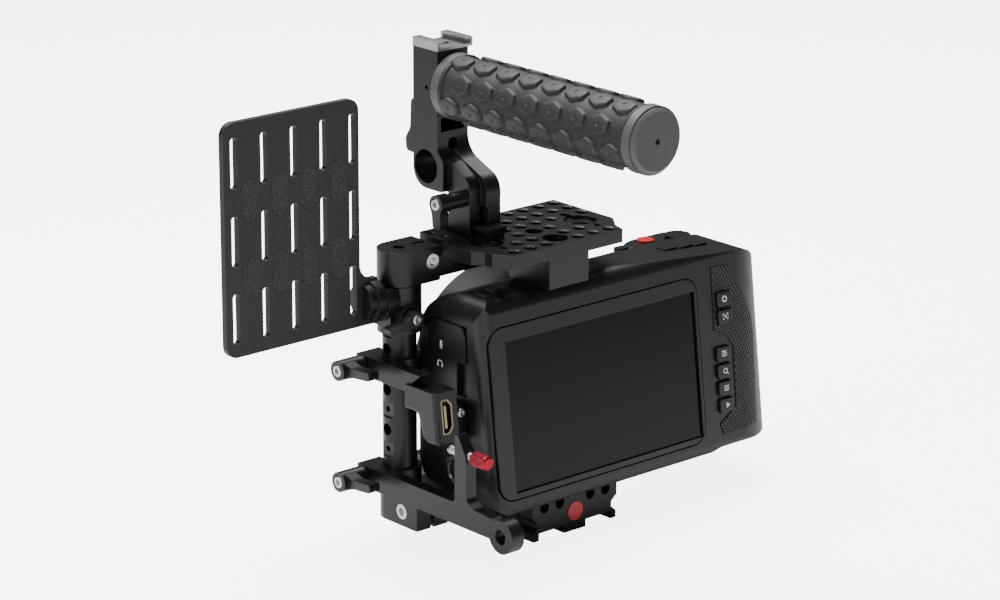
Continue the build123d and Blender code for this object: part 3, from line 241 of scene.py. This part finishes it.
# %% Grain group
def make_grain_group():
    """Fine grain: a height for bump, and a slow tint that breaks up large faces."""
    group = bpy.data.node_groups.new("surface_grain", "ShaderNodeTree")
    group.interface.new_socket("Vector", in_out="INPUT", socket_type="NodeSocketVector")
    value_socket(group, "Grain Scale", 3000.0)
    value_socket(group, "Cloud Scale", 40.0)
    group.interface.new_socket("Height", in_out="OUTPUT", socket_type="NodeSocketFloat")
    group.interface.new_socket("Cloud", in_out="OUTPUT", socket_type="NodeSocketFloat")
    entry, exit_ = group.nodes.new("NodeGroupInput"), group.nodes.new("NodeGroupOutput")
    fine = add_noise(group, entry.outputs["Vector"], entry.outputs["Grain Scale"], 1.5)
    cloud = add_noise(group, entry.outputs["Vector"], entry.outputs["Cloud Scale"], 3.0)
    group.links.new(fine, exit_.inputs["Height"])
    group.links.new(cloud, exit_.inputs["Cloud"])
    return group


grain_group = make_grain_group()
print("group", grain_group.name)


# %% Edge group
def make_edge_group():
    """Softened edges: a normal rounded by Radius, and a mask of where it differs from the face."""
    group = bpy.data.node_groups.new("soft_edges", "ShaderNodeTree")
    value_socket(group, "Radius", 0.0004)
    group.interface.new_socket("Edge", in_out="OUTPUT", socket_type="NodeSocketFloat")
    group.interface.new_socket("Normal", in_out="OUTPUT", socket_type="NodeSocketVector")
    entry, exit_ = group.nodes.new("NodeGroupInput"), group.nodes.new("NodeGroupOutput")
    bevel = group.nodes.new("ShaderNodeBevel")
    bevel.samples = 4
    group.links.new(entry.outputs["Radius"], bevel.inputs["Radius"])
    geometry = group.nodes.new("ShaderNodeNewGeometry")
    likeness = group.nodes.new("ShaderNodeVectorMath")
    likeness.operation = "DOT_PRODUCT"
    group.links.new(bevel.outputs["Normal"], likeness.inputs[0])
    group.links.new(geometry.outputs["Normal"], likeness.inputs[1])
    away = add_math(group, "SUBTRACT", 1.0, likeness.outputs["Value"])
    group.links.new(add_math(group, "MULTIPLY", away, 5.0, clamp=True), exit_.inputs["Edge"])
    group.links.new(bevel.outputs["Normal"], exit_.inputs["Normal"])
    return group


edge_group = make_edge_group()
print("group", edge_group.name)


# %% [markdown]
# ## Finishes
# One builder makes all the plain finishes: grain drives the bump and a little roughness, the
# slow cloud moves the colour between two near shades, and the edge mask lightens the corners,
# partly as rubbing and partly as a painted highlight.
# What differs from part to part, such as metal, gloss and depth of grain, is stated where each
# material is made, in the words of its real finish.

# %% Finish builder
def make_finish(name, shade, edge_rub_and_highlight_colour, rough, metal=0.0, grain=3000.0, depth=0.00002, cloud=40.0,
                edge=0.0004, edge_rub_and_highlight=0.5, stretch=None, **values):
    """A finish with grain, slow tint, softened edges, and lighter edges that are partly rubbing and
    partly painted highlight.
    """
    material, shader = shader_material(name, Metallic=metal, **values)
    tree = material.node_tree
    links = tree.links
    place = tree.nodes.new("ShaderNodeTexCoord").outputs["Object"]
    if stretch:
        mapping = tree.nodes.new("ShaderNodeMapping")
        mapping.inputs["Scale"].default_value = stretch
        links.new(place, mapping.inputs["Vector"])
        place = mapping.outputs["Vector"]
    texture = tree.nodes.new("ShaderNodeGroup")
    texture.node_tree = grain_group
    texture.inputs["Grain Scale"].default_value = grain
    texture.inputs["Cloud Scale"].default_value = cloud
    links.new(place, texture.inputs["Vector"])
    edges = tree.nodes.new("ShaderNodeGroup")
    edges.node_tree = edge_group
    edges.inputs["Radius"].default_value = edge
    dark = tuple(0.82 * c for c in shade)
    tinted = add_mix(tree, texture.outputs["Cloud"], dark, tuple(1.18 * c for c in shade))
    # Edges are lightened here: partly a rubbed finish, partly a painted highlight where the edges
    # would catch light.
    edge_rub_and_highlight_mask = add_math(tree, "MULTIPLY", edges.outputs["Edge"], edge_rub_and_highlight)
    links.new(add_mix(tree, edge_rub_and_highlight_mask, tinted, edge_rub_and_highlight_colour), shader.inputs["Base Color"])
    drift = add_math(tree, "MULTIPLY_ADD", texture.outputs["Height"], 0.12)
    drift.node.inputs[2].default_value = rough - 0.06
    links.new(drift, shader.inputs["Roughness"])
    bump = tree.nodes.new("ShaderNodeBump")
    bump.inputs["Strength"].default_value = 0.6
    bump.inputs["Distance"].default_value = depth
    links.new(texture.outputs["Height"], bump.inputs["Height"])
    links.new(edges.outputs["Normal"], bump.inputs["Normal"])
    links.new(bump.outputs["Normal"], shader.inputs["Normal"])
    return material


# The second colour given to each finish is its lighter edge colour: partly rubbed finish, partly
# painted highlight.
finish = {
    "anodised_black": make_finish("anodised_black", (0.006, 0.006, 0.0065), (0.06, 0.06, 0.062),
                                  0.36, metal=0.1, grain=2600.0, depth=0.000025),
    "panel_black": make_finish("panel_black", (0.012, 0.012, 0.0125), (0.06, 0.06, 0.062),
                               0.5, grain=2200.0, depth=0.00004),
    "plate_black": make_finish("plate_black", (0.008, 0.008, 0.0085), (0.09, 0.09, 0.092),
                               0.34, metal=0.1, grain=2600.0),
    "lever_black": make_finish("lever_black", (0.007, 0.007, 0.0075), (0.05, 0.05, 0.052),
                               0.38, grain=2400.0, depth=0.00003),
    "dark_steel": make_finish("dark_steel", (0.03, 0.03, 0.031), (0.2, 0.2, 0.2),
                              0.32, metal=0.8, grain=3500.0),
    "screw_steel": make_finish("screw_steel", (0.62, 0.61, 0.6), (0.85, 0.84, 0.83),
                               0.22, metal=1.0, grain=3500.0, depth=0.00001),
    "mount_steel": make_finish("mount_steel", (0.58, 0.57, 0.56), (0.8, 0.8, 0.8),
                               0.26, metal=1.0, grain=3500.0, depth=0.00001),
    "shoe_silver": make_finish("shoe_silver", (0.55, 0.545, 0.54), (0.8, 0.8, 0.8),
                               0.33, metal=1.0, grain=2500.0, stretch=(1, 0.08, 1)),
    "badge_red": make_finish("badge_red", (0.62, 0.012, 0.03), (0.7, 0.1, 0.1),
                             0.35, grain=1800.0, Coat_Weight=0.4),
    "thumb_red": make_finish("thumb_red", (0.42, 0.012, 0.035), (0.75, 0.2, 0.22),
                             0.30, metal=0.85, grain=3000.0),
    "record_red": make_finish("record_red", (0.5, 0.012, 0.012), (0.6, 0.08, 0.07),
                              0.38, grain=2400.0),
    "collar_grey": make_finish("collar_grey", (0.085, 0.085, 0.09), (0.15, 0.15, 0.155),
                               0.48, grain=2400.0, depth=0.00003),
    "grip_rubber": make_finish("grip_rubber", (0.022, 0.022, 0.0245), (0.04, 0.04, 0.044),
                               0.55, grain=1700.0, depth=0.00005, edge_rub_and_highlight=0.25),
    "body_polycarbonate": make_finish("body_polycarbonate", (0.007, 0.007, 0.008),
                                      (0.03, 0.03, 0.032), 0.38, grain=1500.0, depth=0.00004),
    "button_black": make_finish("button_black", (0.006, 0.006, 0.0065), (0.05, 0.05, 0.052),
                                0.36, grain=2600.0, edge=0.0003),
    "socket_shadow": make_finish("socket_shadow", (0.006, 0.006, 0.006), (0.02, 0.02, 0.02),
                                 0.6, grain=2600.0),
    "print_white": make_finish("print_white", (0.8, 0.8, 0.8), (0.85, 0.85, 0.85),
                               0.5, grain=3000.0, edge=0.00005),
    "port_metal": make_finish("port_metal", (0.42, 0.33, 0.17), (0.8, 0.72, 0.5),
                              0.30, metal=1.0, grain=3000.0),
    "inner_parts": make_finish("inner_parts", (0.02, 0.06, 0.035), (0.08, 0.15, 0.1),
                               0.45, grain=900.0),
}
print(len(finish), "plain finishes")


# %% [markdown]
# ## Patterned finishes
# Three surfaces need more than grain. The rubber beside the keys and on the hand grip is moulded
# in small diamonds, the strips on the panel are hook tape with a crossed weave, and the screen
# is glass over a dark display. The pattern is a height made from two crossed waves, laid
# out across the X and Z of each part's own coordinates, and fed to bump so that light draws it.

# %% Crossed pattern group
def make_cross_group():
    """Two crossed waves across the X and Z of the vector, as a height between 0 and 1."""
    group = bpy.data.node_groups.new("crossed_ribs", "ShaderNodeTree")
    group.interface.new_socket("Vector", in_out="INPUT", socket_type="NodeSocketVector")
    value_socket(group, "Pitch", 0.001)
    value_socket(group, "Skew", 0.6)
    group.interface.new_socket("Height", in_out="OUTPUT", socket_type="NodeSocketFloat")
    entry, exit_ = group.nodes.new("NodeGroupInput"), group.nodes.new("NodeGroupOutput")
    split = group.nodes.new("ShaderNodeSeparateXYZ")
    group.links.new(entry.outputs["Vector"], split.inputs[0])
    waves = []
    for side in ("ADD", "SUBTRACT"):
        skewed = add_math(group, "MULTIPLY", split.outputs["Z"], entry.outputs["Skew"])
        along = add_math(group, side, split.outputs["X"], skewed)
        turns = add_math(group, "DIVIDE", along, entry.outputs["Pitch"])
        waves.append(add_math(group, "PINGPONG", turns, 0.5))
    product = add_math(group, "MULTIPLY", waves[0], waves[1])
    group.links.new(add_math(group, "MULTIPLY", product, 4.0), exit_.inputs["Height"])
    return group


def add_ribs(material, pitch, skew, depth, dark):
    """Lays the crossed pattern over a finish: into its bump, and as shade in the hollows."""
    tree = material.node_tree
    ribs = tree.nodes.new("ShaderNodeGroup")
    ribs.node_tree = cross_group
    ribs.inputs["Pitch"].default_value = pitch
    ribs.inputs["Skew"].default_value = skew
    place = tree.nodes.new("ShaderNodeTexCoord").outputs["Object"]
    tree.links.new(place, ribs.inputs["Vector"])
    shader = tree.nodes["Principled BSDF"]
    bump = tree.nodes.new("ShaderNodeBump")
    bump.inputs["Distance"].default_value = depth
    before = shader.inputs["Normal"].links[0].from_socket
    tree.links.new(before, bump.inputs["Normal"])
    tree.links.new(ribs.outputs["Height"], bump.inputs["Height"])
    tree.links.new(bump.outputs["Normal"], shader.inputs["Normal"])
    colour = shader.inputs["Base Color"].links[0].from_socket
    tree.links.new(add_mix(tree, ribs.outputs["Height"], dark, colour), shader.inputs["Base Color"])
    return material


cross_group = make_cross_group()
finish["pad_weave"] = add_ribs(
    make_finish("pad_weave", (0.022, 0.022, 0.024), (0.06, 0.06, 0.06), 0.8, grain=1500.0,
                depth=0.00008, Sheen_Weight=0.3),
    pitch=0.0013, skew=1.0, depth=0.0004, dark=(0.006, 0.006, 0.006))
finish["body_rubber"] = add_ribs(
    make_finish("body_rubber", (0.018, 0.018, 0.02), (0.06, 0.06, 0.062), 0.5, grain=1500.0,
                depth=0.00004),
    pitch=0.0021, skew=0.7, depth=0.0007, dark=(0.003, 0.003, 0.003))
finish["screen_glass"] = make_finish(
    "screen_glass", (0.001, 0.001, 0.0012), (0.01, 0.01, 0.011), 0.1, grain=300.0,
    depth=0.000001, Specular_IOR_Level=0.2)
finish["screen_glass"].node_tree.nodes["Principled BSDF"].inputs["IOR"].default_value = 1.5
print("patterned finishes", ["pad_weave", "body_rubber", "screen_glass"])


# %% [markdown]
# ## Finishing the engineering parts
# Each machined or moulded part already has its true shape, so it keeps it and only receives a
# finish. The record lists which parts share a finish under one slot name, and the finishes above
# use the same names, so the two are joined by looking them up.

# %% Finish the parts
def finish_parts():
    for entry in frame["record"]["subparts"]:
        part = nodes[entry["node"]]
        part.data.materials.clear()
        part.data.materials.append(finish[entry["material_slot"]])
    return len(frame["record"]["subparts"])


print(finish_parts(), "parts finished")


# %% [markdown]
# ## Helpers for finer pieces
# The finer pieces are small turned or pressed parts: screws, a knurled knob, rubber pads, printed
# signs. Each is shaped upright at the origin with bmesh operators, then its points are moved to
# where it belongs, so the object itself stays at the origin, unturned and unscaled.

# %% Piece helpers
def place_mesh(shape, origin, direction, turn=0.0):
    """Turns an upright shape so that its +Z looks along direction, then moves it to origin."""
    spin = Matrix.Rotation(turn, 4, "Z")
    tilt = Vector((0, 0, 1)).rotation_difference(Vector(direction)).to_matrix().to_4x4()
    bmesh.ops.transform(shape, matrix=Matrix.Translation(Vector(origin)) @ tilt @ spin,
                        verts=shape.verts)


def add_piece(name, shape, material, body, stands_for=(), crease=35.0):
    """Closes a bmesh into an object that rides on a body of the rig."""
    bmesh.ops.recalc_face_normals(shape, faces=shape.faces)
    data = bpy.data.meshes.new(name)
    for face in shape.faces:
        face.smooth = True
    for edge in shape.edges:
        if len(edge.link_faces) == 2 and edge.calc_face_angle() > radians(crease):
            edge.smooth = False
    shape.to_mesh(data)
    shape.free()
    data.materials.append(finish[material])
    obj = bpy.data.objects.new(name, data)
    bpy.context.scene.collection.objects.link(obj)
    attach(obj, body)
    if stands_for:
        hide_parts(*stands_for)
    return obj


def lift(shape, height, faces=None):
    """Extrudes faces, or the whole flat shape, straight up by height."""
    raised = bmesh.ops.extrude_face_region(shape, geom=faces or list(shape.faces))
    points = [v for v in raised["geom"] if isinstance(v, bmesh.types.BMVert)]
    bmesh.ops.translate(shape, vec=(0, 0, height), verts=points)


def turned(profile, steps=48):
    """A solid of revolution about +Z from (radius, height) points, first and last on the axis."""
    shape = bmesh.new()
    points = [shape.verts.new((radius, 0, height)) for radius, height in profile]
    line = [shape.edges.new(pair) for pair in zip(points, points[1:])]
    bmesh.ops.spin(shape, geom=points + line, axis=(0, 0, 1), cent=(0, 0, 0),
                   steps=steps, angle=2 * pi, use_merge=True)
    bmesh.ops.remove_doubles(shape, verts=shape.verts, dist=1e-7)
    return shape


def join(target, shape):
    """Adds a shape to another one and frees it."""
    data = bpy.data.meshes.new("joined")
    shape.to_mesh(data)
    shape.free()
    target.from_mesh(data)
    bpy.data.meshes.remove(data)


print("piece helpers ready")


# %% [markdown]
# ## Socket screws
# Every lever turns a screw whose bright hexagon socket shows in the middle of its hub. A real one
# is turned and then broached. Here a disc is bevelled, its top is inset, the inset ring is pulled
# onto a hexagon and pushed down, which is the same order of work. One shape serves them all.

# %% Socket screw
def socket_screw(radius, height, hexagon, depth):
    """An upright cap screw head on z 0, with a hexagon socket of half width hexagon."""
    shape = bmesh.new()
    bmesh.ops.create_circle(shape, cap_ends=True, segments=48, radius=radius)
    lift(shape, height)
    rim = 0.15 * height + 0.12 * MM
    top = max(shape.faces, key=lambda f: f.calc_center_median().z)
    bmesh.ops.bevel(shape, geom=list(top.edges), offset=rim, segments=3,
                    profile=0.5, affect="EDGES", material=-1)
    top = max((f for f in shape.faces if len(f.verts) > 8), key=lambda f: f.calc_center_median().z)
    bmesh.ops.inset_region(shape, faces=[top], thickness=radius - rim - hexagon * 1.08)
    for vert in top.verts:
        angle = math.atan2(vert.co.y, vert.co.x) % (pi / 3) - pi / 6
        reach = hexagon / cos(angle)
        flat = Vector((vert.co.x, vert.co.y, 0)).normalized() * reach
        vert.co = (flat.x, flat.y, vert.co.z)
    lift(shape, -depth, [top])
    bmesh.ops.delete(shape, geom=[top], context="FACES_ONLY")
    return shape


def add_socket_screw(name, origin, direction, body, radius, height, hexagon, depth, turn=0.3,
                     material="screw_steel"):
    shape = socket_screw(radius * MM, height * MM, hexagon * MM, depth * MM)
    place_mesh(shape, Vector(origin) * MM, direction, turn)
    return add_piece(name, shape, material, body)


def hub_face(node, axis, side):
    """Coordinate of the outer face of a lever's hub, in millimetres."""
    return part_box(node)[side][axis] / MM


ARM_SCREW_Y, UPPER_ARM_Z, LOWER_ARM_Z = 13.6, 82.2, 31.2
SUNK = 0.75
ARM_SCREW = {"radius": 2.6, "height": 1.1, "hexagon": 1.25, "depth": 0.9}
arm_x = hub_face("upper_lever", 0, 0) + SUNK
handle_x = hub_face("handle_lever", 0, 0) + SUNK
knuckle_y = hub_face("knuckle_lever", 1, 0) + SUNK
screws = [
    add_socket_screw("upper_lever_screw", (arm_x, ARM_SCREW_Y, UPPER_ARM_Z), (-1, 0, 0),
                     "upper_lever", **ARM_SCREW),
    add_socket_screw("lower_lever_screw", (arm_x, ARM_SCREW_Y, LOWER_ARM_Z), (-1, 0, 0),
                     "lower_lever", **ARM_SCREW),
    add_socket_screw("handle_lever_screw", (handle_x, -4.0, 152.8), (-1, 0, 0),
                     "handle_lever", **ARM_SCREW),
    add_socket_screw("knuckle_lever_screw", (-70.0, knuckle_y, 106.4), (0, -1, 0),
                     "knuckle_lever", radius=2.4, height=1.1, hexagon=1.15, depth=0.9),
]
print([s.name for s in screws])


# %% [markdown]
# ## Rubber grip
# The handle's sleeve is moulded rubber with raised pads: long hexagons with a small dimple, in
# rows round the tube, each row shifted by half a pad. One pad is drawn flat, with a bevelled rim
# and rings inside it, and every copy is bent round the tube, so a pad follows the curve and its
# rim keeps an even height. The base tube is turned, with a rounded lip at both ends.

# %% Grip values
GRIP_AXIS_X, GRIP_AXIS_Z = -30.0 * MM, 199.2 * MM
GRIP_TOP, GRIP_BASE = 15.35 * MM, 13.6 * MM
PAD_LENGTH, PAD_WIDTH, PAD_PITCH = 13.4 * MM, 9.2 * MM, 14.4 * MM
ROWS = 8
PAD_RINGS = ((0.95, 1.15), (0.93, 0.42), (0.9, 0.15), (0.75, 0.03), (0.6, 0.0))
grip_low, grip_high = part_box("grip_sleeve")
GRIP_Y0, GRIP_Y1 = grip_low[1], grip_high[1]
print("grip from", round(GRIP_Y0, 4), "to", round(GRIP_Y1, 4))


# %% One flat pad
def flat_pad():
    """A pad lying in XY: X along the grip, Y round it, Z outwards from the base."""
    shape = bmesh.new()
    bmesh.ops.create_circle(shape, cap_ends=True, segments=6, radius=1.0)
    bmesh.ops.scale(shape, vec=(PAD_LENGTH / 2, PAD_WIDTH / 2 / sin(pi / 3), 1), verts=shape.verts)
    bmesh.ops.bevel(shape, geom=list(shape.verts), offset=0.9 * MM, segments=3, profile=0.5,
                    affect="VERTICES", material=-1)
    face = list(shape.faces)[0]
    for shrink, rise in PAD_RINGS:
        bmesh.ops.inset_region(shape, faces=[face], thickness=0.0, use_boundary=True)
        bmesh.ops.scale(shape, vec=(shrink, shrink, 1), verts=list(face.verts))
        bmesh.ops.translate(shape, vec=(0, 0, rise * MM), verts=list(face.verts))
    for radius, sink in ((1.0, 0.0), (0.8, 0.3), (0.3, 0.1)):
        bmesh.ops.inset_region(shape, faces=[face], thickness=0.0, use_boundary=True)
        for vert in face.verts:
            flat = Vector((vert.co.x, vert.co.y, 0)).normalized() * radius * MM
            vert.co = (flat.x, flat.y, vert.co.z - sink * MM)
    return shape


pad = bpy.data.meshes.new("one_pad")
shape = flat_pad()
shape.to_mesh(pad)
print("pad faces", len(shape.faces))
shape.free()


# %% Bend the pads round the tube
def add_pads(target):
    count = 0
    for row in range(ROWS):
        angle = 2 * pi * row / ROWS + pi / 8
        y = GRIP_Y0 + PAD_PITCH * (0.5 if row % 2 else 1.0) + 0.3 * MM
        while y < GRIP_Y1 - 0.3 * PAD_PITCH:
            copy = bmesh.new()
            copy.from_mesh(pad)
            for vert in copy.verts:
                along, around, out = vert.co
                turn = angle + around / GRIP_TOP
                radius = GRIP_BASE + out
                where = min(max(y + along, GRIP_Y0 + 0.6 * MM), GRIP_Y1 - 0.6 * MM)
                vert.co = (GRIP_AXIS_X + radius * sin(turn), where,
                           GRIP_AXIS_Z + radius * cos(turn))
            join(target, copy)
            count += 1
            y += PAD_PITCH
    return count


length = GRIP_Y1 - GRIP_Y0
grip = turned([(0, 0), (11.1 * MM, 0), (14.3 * MM, 0), (14.7 * MM, 0.4 * MM), (14.5 * MM, 1.6 * MM),
               (GRIP_BASE, 2.0 * MM), (GRIP_BASE, length - 2.0 * MM),
               (14.5 * MM, length - 1.6 * MM), (14.7 * MM, length - 0.4 * MM),
               (14.3 * MM, length), (11.1 * MM, length), (0, length)], steps=96)
place_mesh(grip, (GRIP_AXIS_X, GRIP_Y0, GRIP_AXIS_Z), (0, 1, 0))
print(add_pads(grip), "pads on the grip")
add_piece("rubber_grip", grip, "grip_rubber", "handle", ("grip_sleeve",), 50.0)


# %% [markdown]
# ## Knurled thumb screw
# The red screw beside the lower arm is turned from bar and knurled so that wet fingers can turn
# it. A disc is drawn with every second point pulled in and extruded, which leaves straight
# ribs. Plain collars at both ends and a bright threaded shank finish it.

# %% Thumb screw
def ribbed_knob(radius, height, ribs, depth):
    shape = bmesh.new()
    bmesh.ops.create_circle(shape, cap_ends=True, segments=4 * ribs, radius=radius)
    for number, vert in enumerate(shape.verts):
        if number % 4 in (0, 1):
            vert.co *= 1 - depth / radius
    lift(shape, height)
    return shape


thumb_low, thumb_high = (Vector(v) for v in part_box("thumb_screw"))
thumb_x, thumb_z = -77.4 * MM, 57.8 * MM
thumb = ribbed_knob(3.2 * MM, 7.6 * MM, 22, 0.28 * MM)
place_mesh(thumb, (thumb_x, thumb_low.y + 1.3 * MM, thumb_z), (0, 1, 0))
collars = turned([(0, 0), (2.3 * MM, 0), (3.0 * MM, 0.5 * MM), (3.05 * MM, 1.4 * MM), (0, 1.4 * MM)])
place_mesh(collars, (thumb_x, thumb_low.y, thumb_z), (0, 1, 0))
join(thumb, collars)
back_collar = turned([(0, 0), (3.0 * MM, 0), (2.6 * MM, 0.9 * MM), (0, 0.9 * MM)])
place_mesh(back_collar, (thumb_x, thumb_low.y + 8.8 * MM, thumb_z), (0, 1, 0))
join(thumb, back_collar)
add_piece("red_thumb_knob", thumb, "thumb_red", "thumb_screw", ("thumb_screw",), 25.0)
print("thumb screw from", round(thumb_low.y, 4), "to", round(thumb_high.y, 4))


# %% Threaded shank
def threaded_shank(radius, length, pitch, depth):
    """A shank whose turned profile rises and falls once per pitch."""
    profile, height = [(0, 0), (radius - depth, 0)], 0.0
    while height + pitch < length:
        profile += [(radius, height + pitch / 2), (radius - depth, height + pitch)]
        height += pitch
    return turned(profile + [(radius - depth, length), (0, length)], steps=32)


shank_start = thumb_low.y + 9.5 * MM
shank = threaded_shank(2.05 * MM, thumb_high.y - shank_start, 0.7 * MM, 0.25 * MM)
place_mesh(shank, (thumb_x, shank_start, thumb_z), (0, 1, 0))
add_piece("thumb_screw_shank", shank, "mount_steel", "thumb_screw")
print("shank", round((thumb_high.y - shank_start) / MM, 1), "mm")


# %% [markdown]
# ## Printed signs
# The keys on the back carry small white signs, and the two sockets behind the side door have
# their own. They are pad printed, so they stand only a few hundredths of a millimetre proud.
# Plain generic signs are used: a ring, corner marks, bars, a lens, three lines and a triangle.
# Each is built from flat shapes that are extruded a little and laid on the key's leaning face.

# %% Flat sign shapes
PRINT = 0.06


def flat_ring(radius, width, segments=40):
    shape = bmesh.new()
    bmesh.ops.create_circle(shape, cap_ends=True, segments=segments, radius=radius * MM)
    disc = list(shape.faces)[0]
    bmesh.ops.inset_region(shape, faces=[disc], thickness=width * MM, use_boundary=True,
                           use_even_offset=True)
    bmesh.ops.delete(shape, geom=[disc], context="FACES")
    return shape


def flat_bar(x, y, width, height, turn=0.0):
    shape = bmesh.new()
    bmesh.ops.create_grid(shape, x_segments=1, y_segments=1, size=0.5)
    bmesh.ops.scale(shape, vec=(width * MM, height * MM, 1), verts=shape.verts)
    bmesh.ops.rotate(shape, matrix=Matrix.Rotation(turn, 3, "Z"), cent=(0, 0, 0),
                     verts=shape.verts)
    bmesh.ops.translate(shape, vec=(x * MM, y * MM, 0), verts=shape.verts)
    return shape


def flat_polygon(radius, segments, turn=0.0):
    shape = bmesh.new()
    bmesh.ops.create_circle(shape, cap_ends=True, segments=segments, radius=radius * MM)
    bmesh.ops.rotate(shape, matrix=Matrix.Rotation(turn, 3, "Z"), cent=(0, 0, 0),
                     verts=shape.verts)
    return shape


def thick_print(parts):
    """Joins flat shapes and gives them the thickness of the print."""
    sign = bmesh.new()
    for part in parts:
        join(sign, part)
    lift(sign, PRINT * MM)
    return sign


SIGNS = {
    "iris": lambda: [flat_ring(1.5, 0.55)],
    "focus": lambda: [flat_bar(sx * 1.2, sy * 1.15, 0.9, 0.4) for sx in (-1, 1) for sy in (-1, 1)] +
                     [flat_bar(sx * 1.45, sy * 0.8, 0.4, 0.7) for sx in (-1, 1) for sy in (-1, 1)] +
                     [flat_ring(0.6, 0.4, 20)],
    "rate": lambda: [flat_bar(0, y, 3.2, 0.36) for y in (-1.0, 0.0, 1.0)] +
                    [flat_bar(x, y, 0.5, 0.9) for x, y in ((-0.6, 1.0), (0.8, 0.0), (-0.2, -1.0))],
    "zoom": lambda: [flat_ring(1.25, 0.42), flat_bar(1.25, -1.25, 1.3, 0.45, -pi / 4)],
    "menu": lambda: [flat_bar(0, y, 2.9, 0.42) for y in (-0.95, 0.0, 0.95)],
    "play": lambda: [flat_polygon(1.45, 3, -pi / 2)],
}
print("signs", list(SIGNS))


# %% Signs on the keys
LEAN = math.atan(0.1246)
KEY_OUT = Vector((0, -cos(LEAN), sin(LEAN)))


def face_centre(node, out):
    """Middle of the outermost flat face of a part, looking along out."""
    part = nodes[node]
    points = [part.matrix_world @ v.co for v in part.data.vertices]
    reach = max(p.dot(out) for p in points)
    face = [p for p in points if p.dot(out) > reach - 0.02 * MM]
    return Vector([(min(p[i] for p in face) + max(p[i] for p in face)) / 2 for i in range(3)])


def lay_sign(name, parts, centre, across, up, out, body):
    """Lays a printed sign on a face: across is its reading direction, up its top, out its front."""
    sign = thick_print(parts)
    axes = Matrix((across, up, out)).transposed().to_4x4()
    bmesh.ops.transform(sign, matrix=Matrix.Translation(centre + out * 0.01 * MM) @ axes,
                        verts=sign.verts)
    return add_piece(name, sign, "print_white", body)


def add_key_sign(kind):
    key = "rear_button_" + kind
    return lay_sign(kind + "_sign", SIGNS[kind](), face_centre(key, KEY_OUT), Vector((1, 0, 0)),
                    Vector((0, sin(LEAN), cos(LEAN))), KEY_OUT, key)


print([add_key_sign(kind).name for kind in SIGNS])


# %% Signs on the side door
DOOR_OUT = Vector((-1, 0, 0))


def add_door_sign(name, parts, y, z):
    centre = Vector((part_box("port_door")[0][0], y * MM, z * MM))
    return lay_sign(name, parts, centre, Vector((0, -1, 0)), Vector((0, 0, 1)), DOOR_OUT,
                    "port_door")


def arc_of(radius, width):
    """The upper half of a ring, as for a headband."""
    ring = flat_ring(radius, width)
    geometry = list(ring.verts) + list(ring.edges) + list(ring.faces)
    bmesh.ops.bisect_plane(ring, geom=geometry, plane_co=(0, 0, 0), plane_no=(0, -1, 0),
                           clear_outer=True)
    return ring


microphone = [flat_bar(0, 0.8, 1.2, 2.0), flat_bar(0, -0.25, 2.2, 0.4), flat_bar(0, -0.95, 0.5, 1.1),
              flat_bar(0, -1.5, 1.6, 0.4)]
headphones = [arc_of(1.75, 0.45), flat_bar(-1.4, -0.6, 0.8, 1.3), flat_bar(1.4, -0.6, 0.8, 1.3)]
print([add_door_sign("microphone_sign", microphone, -13.2, 93.3).name,
       add_door_sign("headphone_sign", headphones, -12.5, 84.5).name])


# %% [markdown]
# ## Fittings beside the arms
# Between the arms and the camera sits a small black plug with a bright screw, half hidden behind
# the video port. The left shoulder of the camera has a shallow slot with a lug in it. The
# plug is a bevelled block with ribs for the fingers, the slot is painted shade on a thin bevelled
# block in a dark finish, and the lug is spun.

# %% Cable plug
def bevelled_block(size, edge, segments=3):
    shape = bmesh.new()
    bmesh.ops.create_cube(shape, size=1.0)
    bmesh.ops.scale(shape, vec=tuple(v * MM for v in size), verts=shape.verts)
    bmesh.ops.bevel(shape, geom=list(shape.edges), offset=edge * MM, segments=segments,
                    profile=0.5, affect="EDGES", material=-1)
    return shape


def move(shape, x, y, z):
    bmesh.ops.translate(shape, vec=(x * MM, y * MM, z * MM), verts=shape.verts)
    return shape


PLUG_X, PLUG_Y, PLUG_Z = -61.5, -24.0, 62.0
RIBS, FIRST_RIB, RIB_STEP = 4, -5.5, 2.6
plug = move(bevelled_block((7.0, 12.0, 16.0), 1.6), PLUG_X, PLUG_Y, PLUG_Z)
for number in range(RIBS):
    rib = bevelled_block((7.6, 12.6, 1.2), 0.5, 2)
    join(plug, move(rib, PLUG_X, PLUG_Y, PLUG_Z + FIRST_RIB + RIB_STEP * number))
add_piece("cable_plug", plug, "button_black", "rig", crease=30.0)
add_socket_screw("cable_plug_screw", (PLUG_X, PLUG_Y - 6.0, PLUG_Z + 5.5), (0, -1, 0), "rig",
                 2.0, 1.2, 0.9, 0.8)
print("cable plug and its screw")


# %% Shoulder slot shade
SLOT_X, SLOT_Y, SHOULDER_Z = -41.0, -27.5, 116.75
# A thin sheet in a dark finish stands on the shoulder as the painted shade of the slot.
slot_shade_sheet = move(bevelled_block((15.0, 7.0, 0.7), 0.3, 2), SLOT_X, SLOT_Y, SHOULDER_Z)
add_piece("shoulder_slot_shade", slot_shade_sheet, "socket_shadow", "rig")
lug = turned([(0, 0), (2.6 * MM, 0), (2.9 * MM, 0.5 * MM), (2.2 * MM, 1.3 * MM), (0, 1.3 * MM)])
place_mesh(lug, Vector((SLOT_X, SLOT_Y, SHOULDER_Z + 0.25)) * MM, (0, 0, 1))
add_piece("shoulder_lug", lug, "button_black", "rig")
print("shoulder slot and lug")
